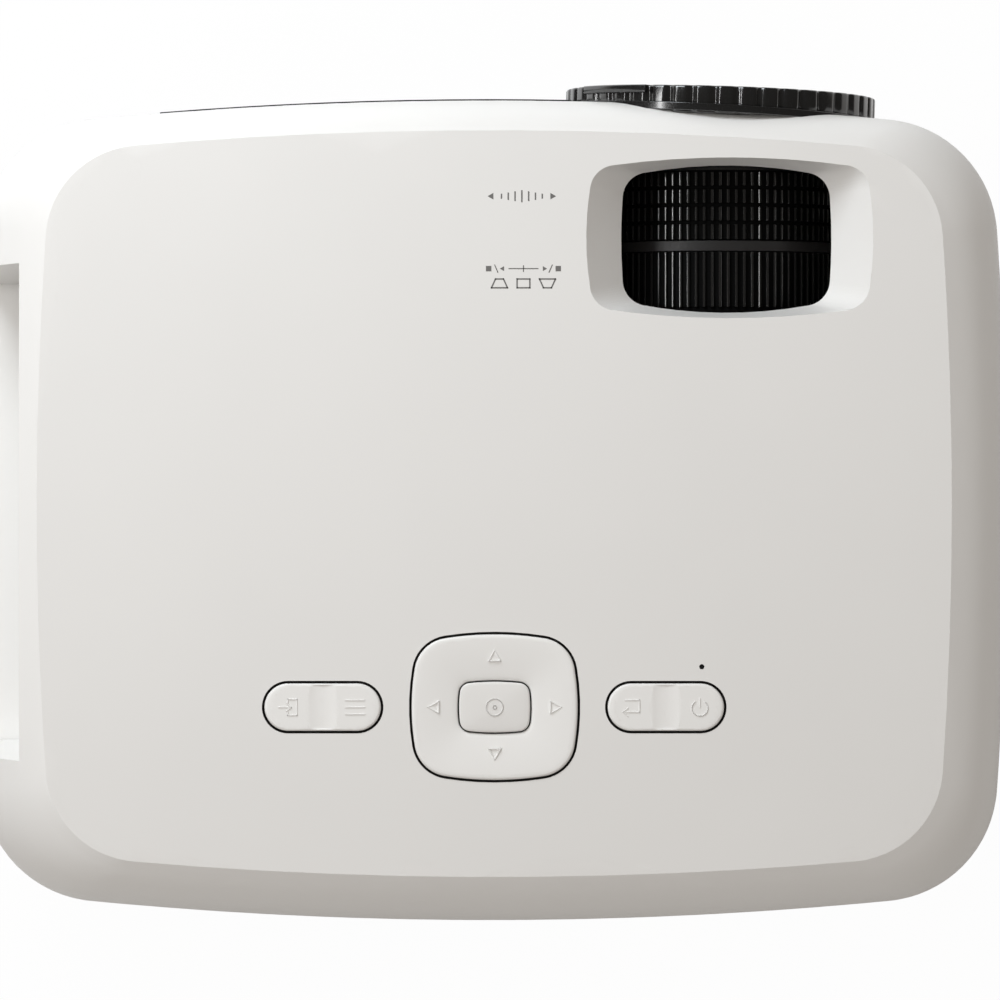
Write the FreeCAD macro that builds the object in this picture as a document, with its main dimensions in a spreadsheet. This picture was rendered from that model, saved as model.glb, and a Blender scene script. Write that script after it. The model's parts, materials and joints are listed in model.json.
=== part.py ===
import FreeCAD, Part
import math
import os
import re
import Sketcher

# Portable LCD projector with a slim disc drive in its side.
# Millimetres, +Z up. The lens looks along -Y and the disc tray comes out along +X.
# Every piece is modelled about the middle of the shell and then moved back by front_shift,
# so that the row's origin is the bottom centre of its box.

SIZES = [
    # shell
    ("shell_width", 261), ("shell_depth", 206.9), ("total_height", 104), ("foot_height", 4),
    ("wall", 2.4), ("split_height", 55), ("shoulder_drop", 17), ("crown", 0.2),
    ("corner", 30), ("crease_corner", 24), ("side_arc", 1000), ("face_arc", 1050),
    ("side_inset", 16.1), ("side_skew", 1.1), ("front_inset", 8.4), ("rear_inset", 11.8),
    ("base_round", 12), ("base_inset", 9), ("join_gap", 0.2), ("boss_radius", 4),
    ("boss_side_inset", 21.5), ("boss_end_inset", 24.45), ("screw_radius", 1.5),
    ("screw_head", 2.8),
    # lens window in the top
    ("lens_offset", 59), ("lens_height", 60), ("window_width", 72), ("window_depth", 40.2),
    ("window_inset", 35.3), ("window_floor_width", 52.6), ("window_floor_depth", 37),
    ("window_drop", 9), ("window_corner", 6.5),
    # lens
    ("barrel_radius", 32), ("ring_wall", 3), ("mount_wall", 2), ("lens_inset", 6.3),
    ("focus_inset", 10.3), ("focus_length", 25), ("ring_spacing", 3), ("keystone_length", 15.5),
    ("mount_tail", 5.5), ("ring_gap", 0.1), ("focus_throw", 3),
    ("groove_depth", 0.9), ("groove_width", 0.9),
    ("cap_inset", 0.7), ("cap_thickness", 4.4), ("cap_lift", 0.3),
    ("collar_clearance", 1.4), ("collar_wall", 3.4), ("collar_flange", 3.5),
    ("collar_recess", 1.9),
    # front panel and rear port plate
    ("panel_proud", 1.2), ("panel_sink", 2.2), ("panel_thickness", 2.6), ("panel_left", 84),
    ("panel_right", -44), ("panel_bottom", 17), ("panel_top", 73), ("ports_inset", 34),
    ("ports_width", 90), ("ports_bottom", 13), ("ports_top", 36),
    # keys
    ("key_y", 49.2), ("key_gap", 0.75), ("pad_x", -1.2), ("pad_width", 41.3),
    ("pad_depth", 36.2), ("pad_corner", 9), ("ok_width", 17.6), ("ok_depth", 12.5),
    ("ok_corner", 2.6), ("pill_left_x", 41.8), ("pill_right_x", -44), ("pill_width", 28.9),
    ("pill_depth", 11.65), ("key_proud", 0.6), ("key_flange", 1.2), ("key_board_drop", 11),
    ("board_thickness", 1.6), ("light_x", -53), ("light_y", 39.1), ("light_radius", 0.65),
    # disc drive
    ("disc_radius", 60), ("drive_margin", 4), ("drive_height", 12.7), ("drive_length", 123),
    ("drive_floor", 55.6), ("drive_y", 0.4), ("tray_inset", 4.2), ("drive_sheet", 0.8),
    ("notch_depth", 12.6), ("notch_inset", 1.3), ("notch_taper", 4.6), ("notch_rise", 0.7),
    ("bezel_thickness", 11), ("spindle_inset", 61.4), ("tray_length", 116.9),
    # projection engine
    ("engine_width", 78), ("engine_rear", 30), ("engine_floor", 24), ("engine_top", 89),
    ("engine_wall", 2.4),
    # fans
    ("fan_size", 60), ("fan_thickness", 15), ("lamp_fan_size", 50), ("lamp_fan_thickness", 10),
    # speaker, boards and feet
    ("speaker_inset", 44.5), ("board_floor", 14), ("board_inset", 17.5), ("foot_side_inset", 32.5),
    ("foot_end_inset", 27.45), ("foot_radius", 7),
]

# Places that follow from the sizes, written as expressions on them.
DERIVED = {
    "half_width": "shell_width / 2",
    "half_depth": "shell_depth / 2",
    "inner_floor": "foot_height + wall",
    "inner_top": "total_height - wall",
    "crease_height": "total_height - crown",
    "shoulder_height": "total_height - shoulder_drop",
    "boss_x": "half_width - boss_side_inset",
    "boss_y": "half_depth - boss_end_inset",
    "foot_x": "half_width - foot_side_inset",
    "foot_y": "half_depth - foot_end_inset",
    "window_y": "-half_depth + window_inset",
    "window_floor": "total_height - window_drop",
    "lens_x": "-lens_offset",
    "lens_tilt": "asin(lens_offset / face_arc)",
    "lens_front": "-half_depth + lens_inset",
    "focus_front": "-half_depth + focus_inset",
    "focus_rear": "focus_front + focus_length",
    "keystone_front": "focus_rear + ring_spacing",
    "keystone_rear": "keystone_front + keystone_length",
    "lens_rear": "keystone_rear + mount_tail",
    "mount_radius": "barrel_radius - ring_wall",
    "collar_bore": "barrel_radius + collar_clearance",
    "collar_neck": "collar_bore + collar_wall",
    "collar_radius": "collar_neck + collar_flange",
    "cap_radius": "collar_radius - cap_inset",
    "face_y": "-half_depth + lens_offset * lens_offset / (2 * face_arc)",
    "cap_reach": "-face_y + cap_lift + cap_thickness",
    "front_reach": "cap_reach + cap_radius * lens_offset / face_arc",
    "front_shift": "(front_reach - half_depth) / 2",
    "drive_width": "2 * (disc_radius + drive_margin)",
    "drive_top": "drive_floor + drive_height",
    "notch_wall_x": "half_width - notch_depth",
    "notch_top_width": "drive_width - 2 * notch_inset",
    "notch_floor_width": "notch_top_width - 2 * notch_taper",
    "notch_floor": "drive_top + notch_rise",
    "drive_front": "notch_wall_x - 0.4",
    "drive_back": "drive_front - drive_length",
    "tray_half": "drive_width / 2 - tray_inset",
    "tray_back": "notch_wall_x - tray_length",
    "spindle_x": "notch_wall_x - spindle_inset",
    "board_start": "drive_back + board_inset",
    "board_end": "drive_front - board_inset",
    "ports_left": "board_end - ports_inset",
    "ports_right": "ports_left - ports_width",
    "speaker_x": "half_width - speaker_inset",
    "key_top": "total_height + key_proud",
    "key_board_top": "total_height - key_board_drop",
    "key_board_floor": "key_board_top - board_thickness",
    "engine_middle": "lens_x",
    "engine_left": "engine_middle + engine_width / 2",
    "engine_right": "engine_middle - engine_width / 2",
}

doc = FreeCAD.newDocument("Projector")
sheet = doc.addObject("Spreadsheet::Sheet", "Sizes")
for row, (alias, number) in enumerate(SIZES, start=1):
    sheet.set(f"A{row}", alias.replace("_", " "))
    sheet.set(f"B{row}", str(number))
    sheet.setAlias(f"B{row}", alias)
doc.recompute()
ALIASES = {alias for alias, number in SIZES}

X_AXIS = FreeCAD.Vector(1, 0, 0)
Y_AXIS = FreeCAD.Vector(0, 1, 0)
Z_AXIS = FreeCAD.Vector(0, 0, 1)
ALONG = {"x": FreeCAD.Rotation(Y_AXIS, 90), "y": FreeCAD.Rotation(X_AXIS, -90),
         "z": FreeCAD.Rotation()}
nodes = []


def bind(text):
    """Turn words that name sizes or derived places into an expression on the sheet."""
    def swap(match):
        word = match.group(0)
        if word in DERIVED:
            return "(" + bind(DERIVED[word]) + ")"
        return "Sizes." + word if word in ALIASES else word
    return re.sub(r"[a-z][a-z_]*", swap, str(text))


def value(text):
    """The number that an expression has now."""
    return float(sheet.evalExpression(bind(text)))


def drive(obj, prop, text):
    """Set a property of obj from an expression on the sheet."""
    obj.setExpression(prop, bind(text))


def move(obj, x=0, y=0, z=0):
    """Bind the place of obj."""
    for axis, text in (("x", x), ("y", y), ("z", z)):
        drive(obj, f".Placement.Base.{axis}", text)
    return obj


def node(obj, label, x=0, y=0, z=0):
    """Name obj as a finished sub-part and move it with the whole projector."""
    if obj.TypeId in ("Part::Box", "Part::Cylinder"):
        obj = group(obj)
    obj.Label = label
    move(obj, x, f"front_shift + {y}", z)
    nodes.append(obj)
    return obj


# ---- solids from Part primitives -------------------------------------------------------

def block(x_low, x_high, y_low, y_high, z_low, z_high):
    """A box between two corners."""
    obj = doc.addObject("Part::Box", "Block")
    for prop, low, high in (("Length", x_low, x_high), ("Width", y_low, y_high),
                            ("Height", z_low, z_high)):
        drive(obj, prop, f"({high}) - ({low})")
    return move(obj, x_low, y_low, z_low)


def rod(along, radius, start, end, x=0, y=0, z=0):
    """A cylinder along an axis from start to end; the other two places are x, y or z."""
    obj = doc.addObject("Part::Cylinder", "Rod")
    obj.Placement = FreeCAD.Placement(FreeCAD.Vector(), ALONG[along])
    drive(obj, "Radius", radius)
    drive(obj, "Height", f"({end}) - ({start})")
    place = {"x": x, "y": y, "z": z}
    place[along] = start
    return move(obj, **place)


def cone(along, radius_start, radius_end, start, end, x=0, y=0, z=0):
    """A cone or taper along an axis."""
    obj = doc.addObject("Part::Cone", "Taper")
    obj.Placement = FreeCAD.Placement(FreeCAD.Vector(), ALONG[along])
    drive(obj, "Radius1", radius_start)
    drive(obj, "Radius2", radius_end)
    drive(obj, "Height", f"({end}) - ({start})")
    place = {"x": x, "y": y, "z": z}
    place[along] = start
    return move(obj, **place)


def hexagon(corner_radius, start, end):
    """An upright six-sided bar on the projector's middle line."""
    obj = doc.addObject("Part::Prism", "Hexagon")
    obj.Polygon = 6
    drive(obj, "Circumradius", corner_radius)
    drive(obj, "Height", f"({end}) - ({start})")
    return move(obj, z=start)


def fuse(*shapes):
    obj = doc.addObject("Part::MultiFuse", "Joined")
    obj.Shapes = list(shapes)
    return obj


def group(*shapes):
    """Several separate solids in one sub-part."""
    obj = doc.addObject("Part::Compound", "Set")
    obj.Links = list(shapes)
    return obj


def cut(base, *tools):
    obj = doc.addObject("Part::Cut", "Cut")
    obj.Base = base
    obj.Tool = tools[0] if len(tools) == 1 else fuse(*tools)
    return obj


def common(base, tool):
    obj = doc.addObject("Part::Common", "Shared")
    obj.Base = base
    obj.Tool = tool
    return obj


def tube(along, outer, inner, start, end, x=0, y=0, z=0):
    """A plain ring or tube."""
    return cut(rod(along, outer, start, end, x, y, z),
               rod(along, inner, f"({start}) - 1", f"({end}) + 1", x, y, z))


# ---- sketches --------------------------------------------------------------------------

def origin_plane(body, role):
    return next(item for item in body.Origin.OriginFeatures if item.Role == role)


def new_sketch(owner, name, plane="XY_Plane", x=0, y=0, z=0):
    """A sketch on a plane of a body, or free and level when there is no body."""
    if owner is None:
        return move(doc.addObject("Sketcher::SketchObject", name), x, y, z)
    sketch = owner.newObject("Sketcher::SketchObject", name)
    sketch.AttachmentSupport = (origin_plane(owner, plane), [""])
    sketch.MapMode = "FlatFace"
    for axis, text in (("x", x), ("y", y), ("z", z)):
        drive(sketch, f".AttachmentOffset.Base.{axis}", text)
    return sketch


def rule(sketch, kind, *items):
    """Add a constraint; a text as the last item becomes its expression."""
    if isinstance(items[-1], str):
        index = sketch.addConstraint(Sketcher.Constraint(kind, *items[:-1], value(items[-1])))
        sketch.setExpression(f"Constraints[{index}]", bind(items[-1]))
    else:
        sketch.addConstraint(Sketcher.Constraint(kind, *items))


def polygon(owner, name, plane, points, z=0):
    """A closed outline of straight edges through points of two expressions each."""
    sketch = new_sketch(owner, name, plane, z=z)
    spots = [FreeCAD.Vector(value(across), value(up), 0) for across, up in points]
    for index, spot in enumerate(spots):
        sketch.addGeometry(Part.LineSegment(spot, spots[(index + 1) % len(spots)]), False)
    for index, (across, up) in enumerate(points):
        rule(sketch, "Coincident", index, 2, (index + 1) % len(spots), 1)
        rule(sketch, "DistanceX", -1, 1, index, 1, str(across))
        rule(sketch, "DistanceY", -1, 1, index, 1, str(up))
    return sketch


def circles(owner, name, plane, radii, z=0):
    """Circles about the sketch's origin."""
    sketch = new_sketch(owner, name, plane, z=z)
    for index, radius in enumerate(radii):
        spot = Part.Circle(FreeCAD.Vector(), Z_AXIS, value(radius))
        sketch.addGeometry(spot, False)
        rule(sketch, "Coincident", index, 3, -1, 1)
        rule(sketch, "Radius", index, str(radius))
    return sketch


def bulged(owner, name, half_w, half_d, corner, side_arc, face_arc, x=0, y=0, z=0):
    """A rounded rectangle whose four sides bow outwards, centred on x and y."""
    sketch = new_sketch(owner, name, "XY_Plane", x, y, z)
    wide, deep, small = value(half_w), value(half_d), value(corner)
    side, face = value(side_arc), value(face_arc)
    gap_x, gap_y = face_gap = (wide - side, deep - face)
    reach = math.hypot(*face_gap)
    along = ((side - small) ** 2 - (face - small) ** 2 + reach ** 2) / (2 * reach)
    off = math.sqrt((side - small) ** 2 - along ** 2)
    turn = math.atan2(gap_y, -gap_x)
    spot_x = gap_x + along * math.cos(turn) - off * math.sin(turn)
    spot_y = along * math.sin(turn) + off * math.cos(turn)
    low = math.atan2(spot_y, spot_x - gap_x)
    high = math.atan2(spot_y - gap_y, spot_x)
    half = math.pi
    pieces = [(gap_x, 0, side, -low, low), (spot_x, spot_y, small, low, high),
              (0, gap_y, face, high, half - high),
              (-spot_x, spot_y, small, half - high, half - low),
              (-gap_x, 0, side, half - low, half + low),
              (-spot_x, -spot_y, small, half + low, half + high),
              (0, -gap_y, face, half + high, 2 * half - high),
              (spot_x, -spot_y, small, -high, -low)]
    for mid_x, mid_y, radius, start, end in pieces:
        circle = Part.Circle(FreeCAD.Vector(mid_x, mid_y, 0), Z_AXIS, radius)
        sketch.addGeometry(Part.ArcOfCircle(circle, start, end), False)
    for index in range(8):
        rule(sketch, "Tangent", index, 2, (index + 1) % 8, 1)
    for index in (3, 5, 7):
        rule(sketch, "Equal", 1, index)
    rule(sketch, "Equal", 0, 4)
    rule(sketch, "Equal", 2, 6)
    for index, axis in ((0, -1), (4, -1), (2, -2), (6, -2)):
        rule(sketch, "PointOnObject", index, 3, axis)
    rule(sketch, "Radius", 1, corner)
    rule(sketch, "Radius", 0, side_arc)
    rule(sketch, "Radius", 2, face_arc)
    rule(sketch, "DistanceX", 0, 3, -1, 1, f"({side_arc}) - ({half_w})")
    rule(sketch, "DistanceX", -1, 1, 4, 3, f"({side_arc}) - ({half_w})")
    rule(sketch, "DistanceY", 2, 3, -1, 1, f"({face_arc}) - ({half_d})")
    rule(sketch, "DistanceY", -1, 1, 6, 3, f"({face_arc}) - ({half_d})")
    return sketch


def slot(owner, name, length, width, x=0, y=0, z=0):
    """A slot along X with round ends."""
    sketch = new_sketch(owner, name, "XY_Plane", x, y, z)
    radius = value(width) / 2
    reach = value(length) / 2 - radius
    left, right = FreeCAD.Vector(-reach, 0, 0), FreeCAD.Vector(reach, 0, 0)
    rise = FreeCAD.Vector(0, radius, 0)
    quarter = math.pi / 2
    sketch.addGeometry(Part.ArcOfCircle(Part.Circle(right, Z_AXIS, radius), -quarter, quarter), False)
    sketch.addGeometry(Part.LineSegment(right + rise, left + rise), False)
    sketch.addGeometry(Part.ArcOfCircle(Part.Circle(left, Z_AXIS, radius), quarter, 3 * quarter), False)
    sketch.addGeometry(Part.LineSegment(left - rise, right - rise), False)
    for index in range(4):
        rule(sketch, "Tangent", index, 2, (index + 1) % 4, 1)
    rule(sketch, "PointOnObject", 0, 3, -1)
    rule(sketch, "PointOnObject", 2, 3, -1)
    rule(sketch, "Radius", 0, f"({width}) / 2")
    rule(sketch, "DistanceX", -1, 1, 0, 3, f"(({length}) - ({width})) / 2")
    rule(sketch, "DistanceX", 2, 3, -1, 1, f"(({length}) - ({width})) / 2")
    return sketch


# ---- solids from sketches --------------------------------------------------------------

def new_body(name):
    return doc.addObject("PartDesign::Body", name)


def pad(body, sketch, length):
    feature = body.newObject("PartDesign::Pad", "Pad")
    feature.Profile = sketch
    drive(feature, "Length", length)
    return feature


def pocket(body, sketch, length, upward=False):
    """Cut from the sketch down, or up when upward is set."""
    feature = body.newObject("PartDesign::Pocket", "Pocket")
    feature.Profile = sketch
    feature.Reversed = upward
    drive(feature, "Length", length)
    return feature


def turned(name, points, along="y"):
    """A turned piece: points of radius and place along its axis."""
    body = new_body(name)
    plane = "XY_Plane" if along == "y" else "XZ_Plane"
    sketch = polygon(body, "Section", plane, points)
    feature = body.newObject("PartDesign::Revolution", "Turn")
    feature.Profile = sketch
    feature.ReferenceAxis = (sketch, ["V_Axis"])
    feature.Angle = 360
    return body


def loft(*sketches, ruled=False):
    obj = doc.addObject("Part::Loft", "Form")
    obj.Sections = list(sketches)
    obj.Solid = True
    obj.Ruled = ruled
    return obj


def prism(sketch, length):
    obj = doc.addObject("Part::Extrusion", "Prism")
    obj.Base = sketch
    obj.DirMode = "Normal"
    obj.Solid = True
    drive(obj, "LengthFwd", length)
    return obj


# ---- the shell's outer and inner form --------------------------------------------------

def shell_ring(inset, z, share, corner="corner", inward="0"):
    """The shell's outline at height z; share is how far it has moved in to the crease."""
    middle_inset = f"(front_inset + rear_inset) / 2 * {share}"
    return bulged(None, "Ring", f"half_width - side_inset * {share} - ({inset}) - ({inward})",
                  f"half_depth - {middle_inset} - ({inset}) - ({inward})",
                  f"{corner} - ({inward})", "side_arc", "face_arc",
                  x=f"-side_skew * {share}",
                  y=f"(front_inset - rear_inset) / 2 * {share}", z=z)


def shoulder(inward, top):
    """The rounded shoulder from the upright wall to the crease round the top face."""
    rings = []
    for angle in (0, 15, 30, 45, 60):
        share = (1 - math.cos(math.radians(angle))) / 0.5
        rise = math.sin(math.radians(angle)) / math.sin(math.radians(60))
        rings.append(shell_ring("0", f"shoulder_height + (({top}) - shoulder_height) * {rise:.4f}",
                                f"{share:.4f}", f"corner - (corner - crease_corner) * {share:.4f}",
                                inward))
    return loft(*rings)


def upper_form(inward, floor, top):
    """The solid form of the upper shell, moved in by inward, with its top at top."""
    wall_form = prism(shell_ring("0", floor, "0", "corner", inward), f"shoulder_height - ({floor})")
    return [wall_form, shoulder(inward, top)]


def lower_form(inward, floor, top):
    """The solid form of the lower shell: upright walls on a rounded base."""
    rings = []
    for angle in (0, 20, 40, 60, 75):
        share = (1 - math.cos(math.radians(angle))) / (1 - math.cos(math.radians(75)))
        drop = math.sin(math.radians(angle)) / math.sin(math.radians(75))
        rings.append(shell_ring(f"base_inset * {share:.4f}",
                                f"({floor}) + base_round * (1 - {drop:.4f})", "0",
                                f"corner - base_inset * {share:.4f}", inward))
    wall_form = prism(shell_ring("0", f"({floor}) + base_round", "0", "corner", inward),
                      f"({top}) - ({floor}) - base_round")
    return [wall_form, loft(*rings)]


def square_to_face(obj):
    """Turn obj from the lens axis until it lies square to the bowed front."""
    turn = FreeCAD.Rotation(FreeCAD.Vector(0, 0, -1), value("lens_tilt"))
    obj.Placement = FreeCAD.Placement(FreeCAD.Vector(), turn)
    drive(obj, ".Placement.Rotation.Angle", "lens_tilt")
    return obj


def lens_face(*shapes):
    """Pieces drawn about the lens axis, set square to the bowed front."""
    whole = fuse(*shapes) if len(shapes) > 1 else group(*shapes)
    return move(square_to_face(whole), "lens_x", "face_y", "lens_height")


def window_form(name, grow, floor, top):
    """The funnel of the lens window, grown by grow on every side."""
    opening = bulged(None, name, f"window_width / 2 + {grow}", f"window_depth / 2 + {grow}",
                     f"window_corner + {grow}", "80", "220", "lens_x - 1", "window_y", top)
    aperture = bulged(None, name, f"window_floor_width / 2 + {grow}",
                      f"window_floor_depth / 2 + {grow}", f"window_corner + {grow}", "150", "115",
                      "lens_x - 0.4", "window_y", floor)
    return loft(aperture, opening, ruled=True)


def arc_plate(thickness, proud, side):
    """A sheet that follows the bowed front (side -1) or rear (side 1)."""
    middle = f"{side} * (half_depth - face_arc)"
    outer = rod("z", f"face_arc + ({proud})", 0, "total_height", y=middle)
    inner = rod("z", f"face_arc + ({proud}) - ({thickness})", -1, "total_height + 1", y=middle)
    return cut(outer, inner)


def notch_form(name, x_low, x_high, grow):
    """The notch in the side above the tray's bezel, with sloping ends."""
    body = new_body(name)
    floor, top = f"split_height - 1 - {grow}", "total_height + 8"
    wide, narrow = f"(notch_top_width / 2 + {grow})", f"(notch_floor_width / 2 + {grow})"
    slope = f"(notch_top_width - notch_floor_width) / 2 / (crease_height - notch_floor)"
    high = f"{wide} + ({top} - crease_height) * {slope}"
    low = f"{narrow} - (notch_floor - ({floor})) * {slope}"
    sketch = polygon(body, "NotchEnd", "YZ_Plane",
                     [(f"drive_y - ({low})", floor), (f"drive_y + {low}", floor),
                      (f"drive_y + {high}", top), (f"drive_y - ({high})", top)], z=x_low)
    pad(body, sketch, f"({x_high}) - ({x_low})")
    return body


def wall_slots(axis, low, high, z_first, count, pitch, height, from_, to):
    """Level vent slots through a wall: low to high along the wall, from_ to to across it."""
    slots = []
    for index in range(count):
        floor = f"{z_first} + {index} * {pitch}"
        if axis == "x":
            slots.append(block(low, high, from_, to, floor, f"{floor} + {height}"))
        else:
            slots.append(block(from_, to, low, high, floor, f"{floor} + {height}"))
    return slots


def front_opening():
    gap = "join_gap"
    return block(f"panel_right - {gap}", f"panel_left + {gap}", "-half_depth - 5",
                 "-half_depth + wall + 6", f"panel_bottom - {gap}", f"panel_top + {gap}")


def port_opening():
    gap = "join_gap"
    return block(f"ports_right - {gap}", f"ports_left + {gap}", "half_depth - wall - 3",
                 "half_depth + 5", f"ports_bottom - {gap}", f"ports_top + {gap}")


def lens_opening():
    """The round seat for the collar and the hole through the wall behind it."""
    return lens_face(rod("y", "collar_radius + join_gap", -20, "collar_recess"),
                     rod("y", "collar_neck + join_gap", -20, 12))


def corner_spots(x, y):
    return [(f"{sign_x} * {x}", f"{sign_y} * {y}") for sign_x in (-1, 1) for sign_y in (-1, 1)]


FAN_Y = 22
SPEAKER_Z = 36
INSERT_CORNER = 4.75


def make_top_shell():
    outer = fuse(*upper_form("0", "split_height", "crease_height"),
                 loft(shell_ring("0", "crease_height", "1", "crease_corner"),
                      shell_ring("3", "crease_height + crown * 0.7", "1", "crease_corner - 3"),
                      shell_ring("10", "total_height", "1", "crease_corner - 10")))
    room = fuse(*upper_form("wall", "split_height - 1", "inner_top"))
    notch_backing = notch_form("NotchBacking", "notch_wall_x - wall", "half_width + 5", "wall")
    kept = [cut(notch_backing, block("notch_wall_x - wall - 1", "half_width + 6", "-drive_width",
                                     "drive_width", 0, "notch_floor - wall")),
            window_form("WindowWall", "1.8", "window_floor", "total_height"),
            lens_face(rod("y", "collar_radius + 3", "collar_recess - 1", "collar_recess + 3"))]
    for x, y in corner_spots("boss_x", "boss_y"):
        kept.append(rod("z", "boss_radius", "split_height", "total_height", x, y))
    for x, y in key_board_spots():
        kept.append(rod("z", 2.6, "key_board_top", "inner_top + 1", x, y))
    cuts = [cut(room, *kept), window_form("Window", "0", "window_floor - 0.1", "total_height + 0.1"),
            notch_form("Notch", "notch_wall_x", "half_width + 9", "0"), front_opening(),
            lens_opening()]
    bay = "(drive_width / 2 + 0.3)"
    cuts.append(block("notch_wall_x - 4", "half_width + 9", f"drive_y - {bay}", f"drive_y + {bay}",
                      "split_height - 1", "notch_floor - 0.3"))
    for x, y in corner_spots("boss_x", "boss_y"):
        cuts.append(rod("z", "screw_radius", "split_height - 1", "split_height + 9", x, y))
    for x, y in key_board_spots():
        cuts.append(rod("z", 0.8, "key_board_top - 1", "key_board_top + 5", x, y))
    cuts.append(prism(bulged(None, "PadHole", "pad_width / 2 + key_gap", "pad_depth / 2 + key_gap",
                             "pad_corner + key_gap", "60", "80", "pad_x", "key_y",
                             "inner_top - 2"), "wall + 4"))
    for x in ("pill_left_x", "pill_right_x"):
        cuts.append(prism(slot(None, "PillHole", "pill_width + 2 * key_gap",
                               "pill_depth + 2 * key_gap", x, "key_y", "inner_top - 2"), "wall + 4"))
    cuts.append(rod("z", "light_radius", "inner_top - 2", "total_height + 2", "light_x", "light_y"))
    cuts += wall_slots("y", FAN_Y - 26, FAN_Y + 26, 60, 3, 6, 2.6,
                       "-half_width - 4", "-half_width + 5")
    node(cut(outer, *cuts), "top_shell")


def key_board_spots():
    return [(f"pad_x {x}", f"key_y {y}") for x in ("- 58", "+ 57") for y in ("- 16", "+ 16")]


def drive_spots():
    """Posts under the corners of the drive."""
    return [(x, f"drive_y {sign} (drive_width / 2 - 4)")
            for x in ("drive_back + 8", "drive_front - 12") for sign in "-+"]


def board_spots():
    """Corners of the main board and of the power board."""
    return [(x, y) for x in ("board_start + 4", "board_end - 4") for y in (8, 78, -8, -76)]


def engine_spots():
    return [("engine_left - 6", "lens_rear + 8"), ("engine_right + 6", "lens_rear + 8"),
            ("engine_left - 6", "engine_rear - 8"), ("engine_right + 6", "engine_rear - 8")]


def make_bottom_shell():
    outer = fuse(*lower_form("0", "foot_height", "split_height"))
    room = fuse(*lower_form("wall", "inner_floor", "split_height + 1"))
    kept = [lens_face(rod("y", "collar_radius + 3", "collar_recess - 1", "collar_recess + 3"))]
    for x, y in corner_spots("boss_x", "boss_y"):
        kept.append(rod("z", "boss_radius", "foot_height + 1", "split_height", x, y))
    for x, y in drive_spots():
        kept.append(rod("z", 3.5, "foot_height + 1", "drive_floor", x, y))
    for x, y in board_spots():
        kept.append(cut(rod("z", 3, "foot_height + 1", "board_floor", x, y),
                        rod("z", 1.25, "board_floor - 6", "board_floor + 1", x, y)))
    for x, y in engine_spots():
        kept.append(rod("z", 4, "foot_height + 1", "engine_floor", x, y))
    kept.append(rod("z", 7, "foot_height + 1", "foot_height + 10"))
    kept.append(rod("z", 7, "foot_height + 1", "foot_height + 16", y="-half_depth + 24"))
    kept.append(tube("y", 17, 14.5, "half_depth - 8.7", "half_depth", x="speaker_x", z=SPEAKER_Z))
    above_split = block("notch_wall_x - 8", "half_width", "-half_depth", "half_depth",
                        "split_height", "total_height")
    cuts = [cut(room, *kept), front_opening(), port_opening(), lens_opening(), above_split]
    for x, y in corner_spots("boss_x", "boss_y"):
        cuts.append(rod("z", "screw_radius + 0.1", "foot_height - 1", "split_height + 1", x, y))
        cuts.append(rod("z", "screw_head + 0.2", "foot_height - 1", "split_height - 8", x, y))
    for x, y in corner_spots("foot_x", "foot_y"):
        cuts.append(rod("z", "foot_radius + 0.2", "foot_height - 1", "foot_height + 1.2", x, y))
    cuts.append(hexagon(INSERT_CORNER + 0.09, "foot_height - 1", "foot_height + 9"))
    cuts.append(rod("z", 4.2, "foot_height - 1", "foot_height + 20", y="-half_depth + 24"))
    cuts.append(rod("z", 9, "foot_height - 1", "foot_height + 1.5", y="-half_depth + 24"))
    cuts += wall_slots("y", FAN_Y - 26, FAN_Y + 26, 24, 5, 6, 2.6,
                       "-half_width - 4", "-half_width + 5")
    cuts += wall_slots("x", "engine_middle - 22", "engine_middle + 22", 28, 4, 6, 2.6,
                       "half_depth - 8", "half_depth + 4")
    for ring_radius, holes in ((4.5, 6), (9, 12), (13.5, 18)):
        for index in range(holes):
            angle = 360 * index / holes
            cuts.append(rod("y", 1.1, "half_depth - 7", "half_depth + 4",
                            x=f"speaker_x + {ring_radius} * cos({angle})",
                            z=f"{SPEAKER_Z} + {ring_radius} * sin({angle})"))
    node(cut(outer, *cuts), "bottom_shell")


# ---- front, lens and cap ---------------------------------------------------------------

def make_front_panel():
    plate = common(arc_plate("panel_proud + panel_sink", "panel_proud", -1),
                   block("panel_right", "panel_left", "-half_depth - 3", "-half_depth + 12",
                         "panel_bottom", "panel_top"))
    cuts = wall_slots("x", 20, 76, 26, 7, 6, 3, "-half_depth - 3", "-half_depth + 12")
    cuts.append(lens_face(rod("y", "collar_radius + join_gap", -20, 20)))
    cuts.append(rod("y", 4.3, "-half_depth - 3", "-half_depth + 12", x=2, z=45))
    node(cut(plate, *cuts), "front_panel")
    node(rod("y", 4.2, "-half_depth - panel_proud", "-half_depth + panel_sink", x=2, z=45),
         "remote_window")
    sensor = fuse(block(-8, 12, "-half_depth + 4.2", "-half_depth + 5.4", 38, 52),
                  block(-3, 7, "-half_depth + 2.6", "-half_depth + 4.2", 41, 49))
    node(sensor, "remote_sensor")
    node(block(22, 76, "-half_depth + 5.4", "-half_depth + 9.4", 22, 68), "dust_filter")


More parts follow.
